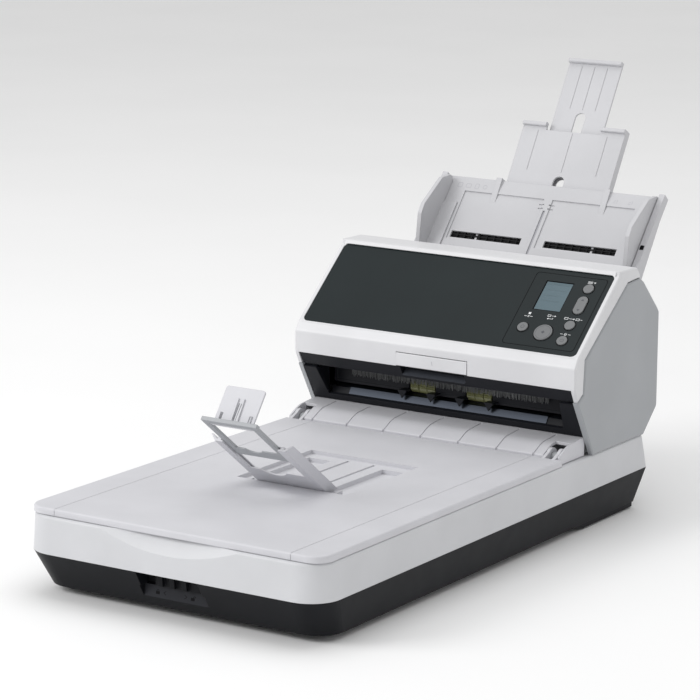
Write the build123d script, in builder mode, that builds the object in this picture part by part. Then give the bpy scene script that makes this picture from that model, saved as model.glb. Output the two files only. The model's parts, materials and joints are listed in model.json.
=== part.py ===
"""Flatbed document scanner with a sheet feeder on its rear end.

X runs across the scanner, +Y from its front edge to its rear, +Z up from the table. The origin lies on the
table under the middle of the overall box. Inside this script depths are measured from the front edge:
FRONT_PLANE, side_plane() and the inclined frames carry them into the part's own frame.
"""

import os
from math import cos, radians, sin

from build123d import *

# ---------------------------------------------------------------- driving dimensions, millimetres
HALF_WIDTH = 150.0  # base at its widest line
BASE_DEPTH = 562.7
CORNER = 28.0  # plan radius of the front corners of the base
REAR_CORNER = 4.0
WALL = 2.5

TRAY_BOTTOM = 6.0
TRAY_TOP = 38.0
SHELL_BOTTOM = 38.2
SHELL_TOP = 70.4
LID_BOTTOM = 70.8
LID_TOP = 76.8
LID_HALF = 147.5
LID_FRONT = 5.0
LID_REAR = 398.4
LID_PIVOT = (411.0, 75.0)  # depth, height

WELL_HALF = 137.0  # sunken platen well under the lid
WELL = (16.0, 392.0)
GLASS_TOP = 59.0

STACKER_ANGLE = 36.4  # stacker arms above the lid
STACKER_FOOT = (192.0, 76.8)
STACKER_PIVOT_DROP = 3.0
STACKER_PIVOT = (
    STACKER_FOOT[0] - STACKER_PIVOT_DROP * sin(radians(STACKER_ANGLE)),
    STACKER_FOOT[1] - STACKER_PIVOT_DROP * cos(radians(STACKER_ANGLE)),
)
STOPPER_PIVOT = (119.5, -2.0)  # along the arms, above their plane

PANEL_ANGLE = 40.0
PANEL_FOOT = (421.5, 166.0)
PANEL_HALF = 145.2
PANEL_LENGTH = 97.4
COVER_PIVOT = (541.0, 219.0)

CHUTE_ANGLE = 49.3
CHUTE_FOOT = (593.3, 223.0)
CHUTE_HALF = 122.0
CHUTE_TOP = 74.0  # along the slope from CHUTE_FOOT
CHUTE_BOTTOM = -46.0
EXTENSION_ANGLE = 58.8
EXTENSION_FOOT = (648.0, 278.4)
TIP_REACH = 137.0  # drawn-out reach of the second extension along its slope
TIP_BACK = 7.0  # its rear face behind the slope
GUIDE_INNER = 111.0

EXIT_HEIGHT = 103.3  # paper path where it leaves the feeder
PATH_RADIUS = 70.0
PATH_CENTRE = (458.2, EXIT_HEIGHT + PATH_RADIUS)

RUN = 0.08  # radial running clearance of shafts

OVERALL_DEPTH = (
    EXTENSION_FOOT[0] + TIP_REACH * cos(radians(EXTENSION_ANGLE)) + TIP_BACK * sin(radians(EXTENSION_ANGLE))
)
FRONT = -OVERALL_DEPTH / 2
FRONT_PLANE = Plane(origin=(0, FRONT, 0))


def side_plane(x):
    """Plane across X at x, whose two coordinates are depth from the front edge and height."""
    return Plane(origin=(x, FRONT, 0), x_dir=(0, 1, 0), z_dir=(1, 0, 0))


def slope_frame(foot, angle):
    """Frame whose local Y climbs to the rear at an angle, from a (depth, height) foot."""
    a = radians(angle)
    return Plane(origin=(0, FRONT + foot[0], foot[1]), x_dir=(1, 0, 0), z_dir=(0, -sin(a), cos(a)))


PANEL_FRAME = slope_frame(PANEL_FOOT, PANEL_ANGLE)
CHUTE_FRAME = slope_frame(CHUTE_FOOT, CHUTE_ANGLE)
EXTENSION_FRAME = slope_frame(EXTENSION_FOOT, EXTENSION_ANGLE)
STACKER_TILT = radians(STACKER_ANGLE)
# local Y runs up the arms towards the front, local Z is the side that paper lands on
STACKER_FRAME = Plane(
    origin=(0, FRONT + STACKER_FOOT[0], STACKER_FOOT[1]),
    x_dir=(-1, 0, 0),
    z_dir=(0, sin(STACKER_TILT), cos(STACKER_TILT)),
)


# ---------------------------------------------------------------- shared shapes
def block(x, y, z, mode=Mode.ADD, frame=FRONT_PLANE):
    """Box between a low and a high limit along each axis of a frame."""
    with Locations(frame):
        with Locations(((x[0] + x[1]) / 2, (y[0] + y[1]) / 2, (z[0] + z[1]) / 2)):
            Box(x[1] - x[0], y[1] - y[0], z[1] - z[0], mode=mode)


def both_sides(x, y, z, mode=Mode.ADD, frame=FRONT_PLANE):
    """The same box left and right of the middle plane."""
    block(x, y, z, mode, frame)
    block((-x[1], -x[0]), y, z, mode, frame)


def outline(points):
    """Fill an outline in the current sketch; a third number rounds that corner."""
    with BuildLine() as path:
        Polyline(*[p[:2] for p in points], close=True)
    make_face(path.edges())
    for p in points:
        if len(p) == 3:
            fillet(vertices().sort_by_distance((p[0], p[1]))[0], p[2])


def side_plate(points, x, mode=Mode.ADD):
    """Extrude a (depth, height) outline between two X limits."""
    with BuildSketch(side_plane(x[0])) as section:
        outline(points)
    extrude(section.sketch, amount=x[1] - x[0], mode=mode)


def rod(radius, x, depth, height, mode=Mode.ADD):
    """Cylinder along X between two limits."""
    with BuildSketch(side_plane(x[0])) as section:
        with Locations((depth, height)):
            Circle(radius)
    extrude(section.sketch, amount=x[1] - x[0], mode=mode)


def rounded_box(half, y, z, radius, mode=Mode.ADD):
    """Box with round vertical corners."""
    with BuildSketch(FRONT_PLANE.offset(z[0])) as section:
        with Locations((0, (y[0] + y[1]) / 2)):
            RectangleRounded(2 * half, y[1] - y[0], radius)
    extrude(section.sketch, amount=z[1] - z[0], mode=mode)


def tapered_box(low, high, mode=Mode.ADD):
    """Loft between two rounded rectangles, each (height, half width, front, rear, corner radius)."""
    sections = []
    for height, half, front, rear, radius in (low, high):
        with BuildSketch(FRONT_PLANE.offset(height)) as section:
            with Locations((0, (front + rear) / 2)):
                RectangleRounded(2 * half, rear - front, radius)
        sections.append(section.sketch)
    loft(sections, mode=mode)


def post(radius, centre, z, mode=Mode.ADD):
    """Cylinder along Z at an (x, depth) centre."""
    with BuildSketch(FRONT_PLANE.offset(z[0])) as section:
        with Locations(centre):
            Circle(radius)
    extrude(section.sketch, amount=z[1] - z[0], mode=mode)


def save(part, name):
    part.label = name
    export_step(part, f"parts/{name}.step")


os.makedirs("parts", exist_ok=True)

# ================================================================ base
SCREWS = [(x, d) for x in (-132, 132) for d in (44, 300, 528)]
SCREW_SHANK = 1.5
SCREW_HEAD = 3.4
BOSS = 4.5
ROD_X, ROD_Z, ROD_RADIUS = -70.0, 20.0, 4.0
ROD_Y = (27.0, 386.0)
BELT_X = -95.0
PULLEY_RADIUS = 6.0
PULLEY_Y = (32.0, 384.0)
PULLEY_Z = (14.0, 20.0)
PULLEY_SHAFT = 2.0
LOCK_WINDOW = (-31.0, 31.0)
LOCK_SILL = 25.0
LOCK_FACET = ((14.6, 14.6), (16.3, 25.1))  # foot and head of its sill
FOOT_RADIUS = 9.0
FEET = [(-112, 56, TRAY_BOTTOM), (112, 56, TRAY_BOTTOM), (-116, 518, 1.5), (116, 518, 1.5)]

with BuildPart() as base_tray:
    tapered_box((TRAY_BOTTOM, 143, 20, 552, 24), (TRAY_TOP, HALF_WIDTH, 0, BASE_DEPTH, CORNER))
    tapered_box(
        (TRAY_BOTTOM, 143, 400, 552, REAR_CORNER), (TRAY_TOP, HALF_WIDTH, 400, BASE_DEPTH, REAR_CORNER)
    )
    tapered_box((8.5, 140.9, 22.4, 549, 22), (TRAY_TOP, 147.5, 2.5, 560.2, 25.5), Mode.SUBTRACT)
    # deeper rear end that carries the feeder
    rounded_box(142.2, (452, 551), (1.5, TRAY_BOTTOM + 0.3), REAR_CORNER)
    side_plate([(430, 6.2), (452, 1.5), (480, 1.5), (480, 6.2)], (-142.2, 142.2))
    rounded_box(139.7, (457, 548.5), (4, 9), 17.5, Mode.SUBTRACT)
    # pocket of the transport lock, in the sloping front wall
    side_plate([(15, 14), (24, 14), (24, TRAY_TOP), (2, TRAY_TOP)], (-37, 37))
    side_plate(
        [(16, LOCK_SILL), (20, LOCK_SILL), (20, 40), (-2, 40), (-2, LOCK_SILL)], LOCK_WINDOW, Mode.SUBTRACT
    )
    # steep sill under the window, wider than it and carrying the padlock signs
    side_plate(
        [LOCK_FACET[0], LOCK_FACET[1], (4, LOCK_SILL + 0.1), (4, LOCK_FACET[0][1])],
        (LOCK_WINDOW[0] - 1.5, LOCK_WINDOW[1] + 1.5),
        Mode.SUBTRACT,
    )
    block((-16, 12), (19, 25), (28.8, 33.2), Mode.SUBTRACT)
    for x, depth in SCREWS:
        post(BOSS, (x, depth), (3.5 if depth > 450 else 8, 25.8))
        post(SCREW_SHANK + RUN, (x, depth), (0, 30), Mode.SUBTRACT)
        post(SCREW_HEAD + 0.2, (x, depth), (0, 8.2), Mode.SUBTRACT)
    # carriage rod supports, idler post
    for y in ((24, 30), (383, 389)):
        block((ROD_X - 7, ROD_X + 7), y, (8, 26))
    with BuildSketch(Plane(origin=(ROD_X, FRONT + ROD_Y[0], ROD_Z), x_dir=(1, 0, 0), z_dir=(0, 1, 0))):
        Circle(ROD_RADIUS + 0.05)
    extrude(amount=ROD_Y[1] - ROD_Y[0], mode=Mode.SUBTRACT)
    post(PULLEY_SHAFT, (BELT_X, PULLEY_Y[0]), (8, 22))
    # motor posts, glide rail of the carriage and floor ribs
    for x in (BELT_X - 13, BELT_X + 13):
        post(3, (x, PULLEY_Y[1] + 13), (8, 24))
    block((98, 114), (30, 380), (8, 13.9))
    for x in (-40, 20, 80):
        block((x - 1, x + 1), (404, 430), (8, 30))
save(base_tray.part, "base_tray")

with BuildPart() as rubber_feet:
    for x, depth, top in FEET:
        post(FOOT_RADIUS, (x, depth), (0, top))
    chamfer(edges().filter_by(GeomType.CIRCLE).group_by(Axis.Z)[0], 0.8)
save(rubber_feet.part, "rubber_feet")

with BuildPart() as case_screws:
    for x, depth in SCREWS:
        post(SCREW_HEAD, (x, depth), (6.0, 8.2))
        post(SCREW_SHANK, (x, depth), (8.1, 36))
        block((x - 2.4, x + 2.4), (depth - 0.4, depth + 0.4), (5.9, 7.2), Mode.SUBTRACT)
        block((x - 0.4, x + 0.4), (depth - 2.4, depth + 2.4), (5.9, 7.2), Mode.SUBTRACT)
save(case_screws.part, "case_screws")

with BuildPart() as transport_lock:
    block((-20, 30), (13.5, 17.5), (LOCK_SILL + 0.4, 37))
    for x in (-13, -1, 11):
        side_plate(
            [(13.8, LOCK_SILL + 1), (13.8, 36.6), (9, 36.6), (10.5, LOCK_SILL + 1)], (x - 2.2, x + 2.2)
        )
    block((-4, 4), (17, 24.5), (29.4, 32.6))
save(transport_lock.part, "transport_lock")

# finger scoop under the lid's front edge: a leaning cylinder whose lowest line climbs into the front wall
SCOOP_LOW = 54.5
SCOOP_LEAN = Vector(0, 9, 14).normalized()
SCOOP_RADIUS = 364.0
HINGE_X = (132.0, 138.0)  # lifting hinge post
HINGE_Y = (406.0, 416.0)
SOCKET_BAY_X = (30.0, 118.0)
SOCKET_BAY_Z = (44.0, 64.0)
USB_X, LAN_X, POWER_X = 52.0, 76.0, 102.0
SOCKET_Z = 54.0
BOARD_TOP = 47.2

with BuildPart() as base_shell:
    tapered_box((SHELL_BOTTOM, HALF_WIDTH, 0, BASE_DEPTH, CORNER), (SHELL_TOP, 148.6, 1.6, 554, 27))
    tapered_box(
        (SHELL_BOTTOM, HALF_WIDTH, 400, BASE_DEPTH, REAR_CORNER),
        (SHELL_TOP, 148.6, 400, 554, REAR_CORNER),
    )
    fillet(edges().group_by(Axis.Z)[-1], 2.4)
    tapered_box((SHELL_BOTTOM, 147.5, 2.5, 560.2, 25.5), (67.9, 146.1, 4.1, 551.5, 24.5), Mode.SUBTRACT)
    # well for the platen, with a ledge that the platen frame rests on
    rounded_box(139.5, (13.5, 394.5), (57, 69), 14)
    rounded_box(WELL_HALF, WELL, (GLASS_TOP, SHELL_TOP + 1), 12, Mode.SUBTRACT)
    rounded_box(128, (26, 382), (56, GLASS_TOP + 1), 8, Mode.SUBTRACT)
    block((-82, 82), (1.8, 14), (47, 68))
    scoop_out = SCOOP_LEAN.cross(Vector(1, 0, 0))
    scoop_axis = Vector(0, FRONT, SCOOP_LOW) - scoop_out * SCOOP_RADIUS
    with Locations(Plane(origin=scoop_axis, x_dir=(1, 0, 0), z_dir=SCOOP_LEAN)):
        Cylinder(SCOOP_RADIUS, 700, mode=Mode.SUBTRACT)
    # bosses that the case screws enter
    for x, depth in SCREWS:
        top = 69 if depth > 450 else 57.5
        post(BOSS, (x, depth), (26, top))
        post(SCREW_SHANK + 0.02, (x, depth), (25, 40), Mode.SUBTRACT)
    # sleeves of the lifting hinge posts, with slots for the knuckles of the lid
    both_sides((HINGE_X[0] - 6, HINGE_X[1] + 6), (399, 423), (44, 69))
    for low, high in ((127.8, 131.8), (138.2, 142.2)):
        both_sides((low, high), (401, 421), (66, 75), Mode.SUBTRACT)
    both_sides(
        (HINGE_X[0] - 0.15, HINGE_X[1] + 0.15),
        (HINGE_Y[0] - 0.15, HINGE_Y[1] + 0.15),
        (40, 75),
        Mode.SUBTRACT,
    )
    # recessed bay of the rear sockets
    block(
        (SOCKET_BAY_X[0] - WALL, SOCKET_BAY_X[1] + WALL),
        (548, 557),
        (SOCKET_BAY_Z[0] - WALL, SOCKET_BAY_Z[1] + WALL),
    )
    block(SOCKET_BAY_X, (550.5, 570), SOCKET_BAY_Z, Mode.SUBTRACT)
    block((USB_X - 6.4, USB_X + 6.4), (540, 552), (SOCKET_Z - 5.9, SOCKET_Z + 5.9), Mode.SUBTRACT)
    block((LAN_X - 8.3, LAN_X + 8.3), (540, 552), (SOCKET_Z - 7.1, SOCKET_Z + 7.1), Mode.SUBTRACT)
    block((POWER_X - 6.3, POWER_X + 6.3), (540, 552), (SOCKET_Z - 6.3, SOCKET_Z + 6.3), Mode.SUBTRACT)
save(base_shell.part, "base_shell")

with BuildPart() as data_sockets:
    block((USB_X - 6.1, USB_X + 6.1), (537, 552.5), (SOCKET_Z - 5.6, SOCKET_Z + 5.6))
    block((USB_X - 6.1, USB_X + 6.1), (537, 547), (BOARD_TOP, SOCKET_Z))
    block((USB_X - 4.3, USB_X + 4.3), (542, 553), (SOCKET_Z - 3.9, SOCKET_Z + 3.9), Mode.SUBTRACT)
    block((USB_X - 2.8, USB_X + 2.8), (541, 551), (SOCKET_Z - 1.6, SOCKET_Z + 1.6))
    block((LAN_X - 8, LAN_X + 8), (532, 552.5), (SOCKET_Z - 6.8, SOCKET_Z + 6.8))
    block((LAN_X - 5.9, LAN_X + 5.9), (539, 553), (SOCKET_Z - 3.3, SOCKET_Z + 4.3), Mode.SUBTRACT)
    block((LAN_X - 3, LAN_X + 3), (539, 553), (SOCKET_Z - 5.6, SOCKET_Z - 3), Mode.SUBTRACT)
save(data_sockets.part, "data_sockets")

with BuildPart() as power_inlet:
    block((POWER_X - 6, POWER_X + 6), (538, 552.5), (SOCKET_Z - 6, SOCKET_Z + 6))
    block((POWER_X - 6, POWER_X + 6), (538, 547), (BOARD_TOP, SOCKET_Z))
    with BuildSketch(Plane(origin=(POWER_X, FRONT + 541, SOCKET_Z), x_dir=(1, 0, 0), z_dir=(0, 1, 0))):
        Circle(3.4)
    extrude(amount=14, mode=Mode.SUBTRACT)
    with BuildSketch(Plane(origin=(POWER_X, FRONT + 540, SOCKET_Z), x_dir=(1, 0, 0), z_dir=(0, 1, 0))):
        Circle(1.0)
    extrude(amount=11)
save(power_inlet.part, "power_inlet")

WINDOW_HALF = 113.0
WINDOW = (32.0, 342.0)
with BuildPart() as platen_frame:
    rounded_box(WELL_HALF - 0.3, (WELL[0] + 0.3, WELL[1] - 0.3), (GLASS_TOP + 0.1, GLASS_TOP + 2.1), 11.7)
    block((-WINDOW_HALF, WINDOW_HALF), WINDOW, (GLASS_TOP - 1, GLASS_TOP + 3), Mode.SUBTRACT)
    # scale ticks along the left and the front edge of the glass
    for step in range(1, 30):
        length = 5 if step % 5 == 0 else 2.5
        block(
            (-115 - length, -115), (342 - 10 * step - 0.2, 342 - 10 * step + 0.2), (60.8, 62), Mode.SUBTRACT
        )
    for step in range(1, 22):
        length = 5 if step % 5 == 0 else 2.5
        x = -WINDOW_HALF + 10 * step
        block((x - 0.2, x + 0.2), (344, 344 + length), (60.8, 62), Mode.SUBTRACT)
save(platen_frame.part, "platen_frame")

with BuildPart() as platen_glass:
    block((-118, 118), (27, 347), (GLASS_TOP - 3, GLASS_TOP))
save(platen_glass.part, "platen_glass")

with BuildPart() as guide_rod:
    with BuildSketch(Plane(origin=(ROD_X, FRONT + ROD_Y[0], ROD_Z), x_dir=(1, 0, 0), z_dir=(0, 1, 0))):
        Circle(ROD_RADIUS)
    extrude(amount=ROD_Y[1] - ROD_Y[0])
save(guide_rod.part, "guide_rod")

with BuildPart() as main_board:
    block((-100, 124), (440, 547), (BOARD_TOP - 1.6, BOARD_TOP))
    chips = ((-60, 470, 14, 2.2), (0, 480, 11, 2.0), (50, 462, 9, 1.8), (20, 515, 7, 6), (-30, 518, 6, 9))
    for x, y, half, height in chips:
        block((x - half, x + half), (y - half, y + half), (BOARD_TOP - 0.1, BOARD_TOP + height))
    for x in (-94, 118):
        post(3, (x, 446), (8.5, BOARD_TOP - 1.5))
        post(3, (x, 540), (4, BOARD_TOP - 1.5))
save(main_board.part, "main_board")

# ---------------------------------------------------------------- scan carriage, its belt and motor
CARRIAGE = (38.0, 64.0)
with BuildPart() as carriage_frame:
    block((-118, 118), CARRIAGE, (28, 44))
    block((-115.5, 115.5), (CARRIAGE[0] + 2.5, CARRIAGE[1] - 2.5), (30.5, 45), Mode.SUBTRACT)
    block((ROD_X - 11, ROD_X + 11), (CARRIAGE[0] - 2, CARRIAGE[1] + 2), (12, 29))
    with BuildSketch(Plane(origin=(ROD_X, FRONT, ROD_Z), x_dir=(1, 0, 0), z_dir=(0, 1, 0))):
        Circle(ROD_RADIUS + RUN)
    extrude(amount=120, mode=Mode.SUBTRACT)
    # jaws on the inner run of the belt
    block((BELT_X + 3.5, ROD_X - 9), (46, 56), (12, 29))
    block((BELT_X + 5.9, BELT_X + 8.5), (40, 60), (10, 22), Mode.SUBTRACT)
    block((100, 112), (46, 56), (14, 29))
save(carriage_frame.part, "carriage_frame")

with BuildPart() as carriage_sensor:
    block((-112, 112), (44, 58), (31, 54))
    block((-108, 108), (49, 53), (53, 55), Mode.ADD)
save(carriage_sensor.part, "carriage_sensor")

with BuildPart() as idler_pulley:
    post(PULLEY_RADIUS, (BELT_X, PULLEY_Y[0]), PULLEY_Z)
    post(PULLEY_RADIUS + 2, (BELT_X, PULLEY_Y[0]), (PULLEY_Z[0] - 1.2, PULLEY_Z[0]))
    post(PULLEY_RADIUS + 2, (BELT_X, PULLEY_Y[0]), (PULLEY_Z[1], PULLEY_Z[1] + 1.2))
    post(PULLEY_SHAFT + RUN, (BELT_X, PULLEY_Y[0]), (5, 30), Mode.SUBTRACT)
save(idler_pulley.part, "idler_pulley")

with BuildPart() as drive_pulley:
    post(PULLEY_RADIUS, (BELT_X, PULLEY_Y[1]), PULLEY_Z)
    post(PULLEY_RADIUS + 2, (BELT_X, PULLEY_Y[1]), (PULLEY_Z[0] - 1.2, PULLEY_Z[0]))
    post(PULLEY_RADIUS + 2, (BELT_X, PULLEY_Y[1]), (PULLEY_Z[1], PULLEY_Z[1] + 1.2))
    post(PULLEY_SHAFT + RUN, (BELT_X, PULLEY_Y[1]), (5, 30), Mode.SUBTRACT)
save(drive_pulley.part, "drive_pulley")

with BuildPart() as drive_belt:
    for radius, mode in ((PULLEY_RADIUS + 1.5, Mode.ADD), (PULLEY_RADIUS + 0.3, Mode.SUBTRACT)):
        with BuildSketch(FRONT_PLANE.offset(PULLEY_Z[0] + 0.5)):
            with Locations((BELT_X, sum(PULLEY_Y) / 2)):
                SlotCenterToCenter(PULLEY_Y[1] - PULLEY_Y[0], 2 * radius, rotation=90)
        extrude(amount=5, mode=mode)
save(drive_belt.part, "drive_belt")

with BuildPart() as carriage_motor:
    block((BELT_X - 17, BELT_X + 17), (PULLEY_Y[1] - 17, PULLEY_Y[1] + 17), (24, 46))
    chamfer(edges().filter_by(Axis.Z), 3)
    post(11, (BELT_X, PULLEY_Y[1]), (22.5, 24.5))
    post(PULLEY_SHAFT, (BELT_X, PULLEY_Y[1]), (11.5, 23))
save(carriage_motor.part, "carriage_motor")

# ---------------------------------------------------------------- ribbed ramp between lid and feeder
RAMP_HALF = 144.2
RAMP_GROOVES = (-118, -80, -40, 0, 40, 80, 118)
with BuildPart() as ramp_cover:
    side_plate(
        [(399, 71), (399, 78.6, 1.2), (415, 86, 30), (446, 88.4), (446, 71)], (-RAMP_HALF, RAMP_HALF)
    )
    side_plate(
        [(401.5, 70), (401.5, 76.6), (415, 83.2), (443.5, 85.6), (443.5, 70)],
        (-RAMP_HALF + 2.5, RAMP_HALF - 2.5),
        Mode.SUBTRACT,
    )
    for x in RAMP_GROOVES:
        side_plate(
            [(398, 77.9), (399, 77.9), (415, 85.3, 30), (441, 87.3), (441, 93), (398, 93)],
            (x - 0.6, x + 0.6),
            Mode.SUBTRACT,
        )
        block((x - 1.3, x + 1.3), (398, 400.2), (76.4, 82), Mode.SUBTRACT)
    # slots that the hinge knuckles of the lid turn in
    both_sides((127.6, 142.4), (395, 423), (70, 95), Mode.SUBTRACT)
save(ramp_cover.part, "ramp_cover")

# ================================================================ document lid
KNUCKLE_X = ((128.2, 131.4), (138.6, 141.8))
KNUCKLE_RADIUS = 8.6
HINGE_PIN = 2.5
RECESS_HALF = 56.0
RECESS = (183.5, 302.4)
RECESS_FLOOR = 73.3
DEEP_FLOOR = 69.3

with BuildPart() as hinge_posts:
    for side in (-1, 1):
        x = sorted((side * HINGE_X[0], side * HINGE_X[1]))
        block(x, HINGE_Y, (45, LID_PIVOT[1]))
        rod(5, x, *LID_PIVOT)
        rod(HINGE_PIN + RUN, x, *LID_PIVOT, Mode.SUBTRACT)
save(hinge_posts.part, "hinge_posts")

with BuildPart() as hinge_pins:
    for side in (-1, 1):
        rod(HINGE_PIN, sorted((side * 128.4, side * 141.6)), *LID_PIVOT)
save(hinge_pins.part, "hinge_pins")

with BuildPart() as lid_top:
    rounded_box(LID_HALF, (LID_FRONT, LID_REAR), (LID_BOTTOM, LID_TOP), 17)
    block((-LID_HALF, LID_HALF), (380, LID_REAR), (LID_BOTTOM, LID_TOP))
    fillet(edges().group_by(Axis.Z)[-1], 1.9)
    rounded_box(
        LID_HALF - WALL,
        (LID_FRONT + WALL, LID_REAR - WALL),
        (LID_BOTTOM - 1, LID_TOP - 2.2),
        15,
        Mode.SUBTRACT,
    )
    # seams of the side strips
    for x in (-117.6, 117.6):
        seam = (x - 0.25, x + 0.25)
        block(seam, (LID_FRONT - 1, LID_REAR + 1), (LID_TOP - 0.45, LID_TOP + 1), Mode.SUBTRACT)
        block(seam, (LID_FRONT - 1, LID_FRONT + 0.4), (LID_BOTTOM - 1, LID_TOP), Mode.SUBTRACT)
    # stacker recess: shallow floor, deeper at the wings and at the pivot, with two slots
    block((-RECESS_HALF - 1.5, RECESS_HALF + 1.5), (RECESS[0] - 1.5, RECESS[1] + 1.5), (67.9, LID_TOP - 2))
    block((-RECESS_HALF, RECESS_HALF), RECESS, (RECESS_FLOOR, LID_TOP + 1), Mode.SUBTRACT)
    both_sides((27, 50), (RECESS[0], 289), (DEEP_FLOOR, RECESS_FLOOR + 1), Mode.SUBTRACT)
    block((-50, 50), (RECESS[0], 197), (DEEP_FLOOR, RECESS_FLOOR + 1), Mode.SUBTRACT)
    both_sides((12, 15), (225, 298), (RECESS_FLOOR - 1.2, RECESS_FLOOR + 1), Mode.SUBTRACT)
    # ears that hold the stacker's pivot
    both_sides((42.4, 44.6), (186, 196), (DEEP_FLOOR - 0.5, LID_TOP - 0.6))
    rod(1.6 + RUN, (-44.2, 44.2), *STACKER_PIVOT, Mode.SUBTRACT)
    # hinge knuckles
    for low, high in KNUCKLE_X:
        for side in (-1, 1):
            x = sorted((side * low, side * high))
            rod(KNUCKLE_RADIUS, x, *LID_PIVOT)
            side_plate([(394, 71.2), (403, 71.2), (411, 66.6), (411, 83.2), (394, LID_TOP - 0.2)], x)
            rod(HINGE_PIN, x, *LID_PIVOT, Mode.SUBTRACT)
save(lid_top.part, "lid_top")

with BuildPart() as lid_tray:
    rounded_box(134.5, (18.5, 388), (63.5, LID_TOP - 2.4), 10)
    rounded_box(132.7, (20.3, 386.2), (65, LID_TOP), 9, Mode.SUBTRACT)
    for y in (100, 350):
        block((-132.8, 132.8), (y - 0.8, y + 0.8), (64.5, 73))
save(lid_tray.part, "lid_tray")

with BuildPart() as document_pad:
    rounded_box(111, (34, 340), (GLASS_TOP + 0.3, 63.4), 2)
save(document_pad.part, "document_pad")

# ---------------------------------------------------------------- stacker on the lid
RAIL = (28.0, 33.6)
ARM = (22.0, 27.7)
PIVOT_W = -STACKER_PIVOT_DROP


with BuildPart() as stacker_base:
    both_sides(RAIL, (-1.5, 86), (-4.6, -0.4), frame=STACKER_FRAME)
    both_sides((RAIL[0] - 0.1, 29.9), (6, 87), (-3.0, -1.2), Mode.SUBTRACT, STACKER_FRAME)
    # raised wings, whose inner faces lean outwards
    for side in (-1, 1):
        with BuildSketch(Plane(STACKER_FRAME.origin, STACKER_FRAME.x_dir, -STACKER_FRAME.y_dir)):
            with BuildLine():
                Polyline(
                    (side * 33.4, -4.6),
                    (side * 35.4, -4.6),
                    (side * 41.6, 1.8),
                    (side * 39.6, 1.8),
                    (side * 33.4, -3.2),
                    close=True,
                )
            make_face()
        extrude(amount=-86)
    # foot plate with its curved upper edge, and the pivot bar
    block((-28.2, 28.2), (1, 34), (-4.6, -3.4), frame=STACKER_FRAME)
    with Locations(STACKER_FRAME):
        with Locations((4, 41, -4)):
            Cylinder(15, 6, mode=Mode.SUBTRACT)
    block((-0.3, 0.3), (0, 27), (-3.7, -3), Mode.SUBTRACT, STACKER_FRAME)
    with Locations(STACKER_FRAME):
        with Locations(Location((0, 0, PIVOT_W), (0, 90, 0))):
            Cylinder(1.6, 2 * 44)
save(stacker_base.part, "stacker_base")

with BuildPart() as stacker_extension:
    both_sides(ARM, (60, 127), (-3.1, -0.7), frame=STACKER_FRAME)
    both_sides((27.6, 29.5), (60, 84), (-2.6, -1.6), frame=STACKER_FRAME)
    block((-27.7, 27.7), (122, 127), (-3.1, 0.4), frame=STACKER_FRAME)
    # lower cross plate with its curved upper edge
    block((-22.2, 22.2), (60, 73), (-3.1, -1.8), frame=STACKER_FRAME)
    with Locations(STACKER_FRAME):
        with Locations((4, 78, -2.4)):
            Cylinder(10, 6, mode=Mode.SUBTRACT)
        with Locations(Location((0, STOPPER_PIVOT[0], STOPPER_PIVOT[1]), (0, 90, 0))):
            Cylinder(0.95 + RUN, 2 * 25.2, mode=Mode.SUBTRACT)
save(stacker_extension.part, "stacker_extension")

STOPPER_HALF = 19.6
STOPPER_HEIGHT = 35.0
with BuildPart() as stacker_stopper:
    v, w = STOPPER_PIVOT
    with BuildSketch(Plane(STACKER_FRAME.location * Location((0, v - 0.8, w), (90, 0, 0)))):
        with Locations((0, STOPPER_HEIGHT / 2 + 0.4)):
            RectangleRounded(2 * STOPPER_HALF, STOPPER_HEIGHT, 2.5)
    extrude(amount=-1.6)
    for x in (-2.8, 2.8):
        block((x - 0.8, x + 0.8), (v - 1.9, v - 0.7), (w + 1, w + 26), frame=STACKER_FRAME)
    both_sides((13.5, 14.9), (v - 1.8, v - 0.7), (w + 1, w + 11), frame=STACKER_FRAME)
    with Locations(STACKER_FRAME):
        with Locations(Location((0, v, w), (0, 90, 0))):
            Cylinder(1.3, 2 * STOPPER_HALF)
            Cylinder(0.95, 2 * 24.8)
save(stacker_stopper.part, "stacker_stopper")

# ================================================================ sheet feeder, fixed part
PIVOT = COVER_PIVOT
SIDE_OUTLINE = [
    (453.5, 70.6),
    (437.2, 97.7),
    (421.2, 124.0),
    (431.9, 130.2),
    (433.7, 161.4),
    (512.3, 219.6),
    (536.6, 221.0),
    (544.2, 216.7),
    (573.4, 188.1, 6),
    (576.6, 184, 4),
    (577.8, 93.7, 6),
    (552.5, 70.6),
]
SIDE_X = (144.5, 150.0)
REAR_HALF = 144.3
INLET_HALF = 124.5


def path_point(angle, radius):
    """Depth and height of a point on the paper path's arc, measured rearwards from its lowest point."""
    a = radians(angle)
    return (PATH_CENTRE[0] + radius * sin(a), PATH_CENTRE[1] - radius * cos(a))


def path_frame(angle):
    """Frame on the arc whose local Y follows the paper to the rear and local Z looks at the arc's centre."""
    a = radians(angle)
    depth, height = path_point(angle, PATH_RADIUS)
    return Plane(origin=(0, FRONT + depth, height), x_dir=(1, 0, 0), z_dir=(0, -sin(a), cos(a)))


def path_shell(inner, outer, angles, half):
    """Curved plate that follows the paper path's arc."""
    far = [path_point(a, 200) for a in (angles[0], sum(angles) / 2, angles[1])]
    with BuildSketch(side_plane(-half)) as section:
        with Locations(PATH_CENTRE):
            Circle(outer)
            Circle(inner, mode=Mode.SUBTRACT)
        with BuildLine() as wedge:
            Polyline(PATH_CENTRE, *far, close=True)
        make_face(wedge.edges(), mode=Mode.INTERSECT)
    extrude(section.sketch, amount=2 * half)




def chute_point(along, above):
    """Depth and height of a point given along the chute surface and above it."""
    a = radians(CHUTE_ANGLE)
    return (
        CHUTE_FOOT[0] + along * cos(a) - above * sin(a),
        CHUTE_FOOT[1] + along * sin(a) + above * cos(a),
    )


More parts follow.
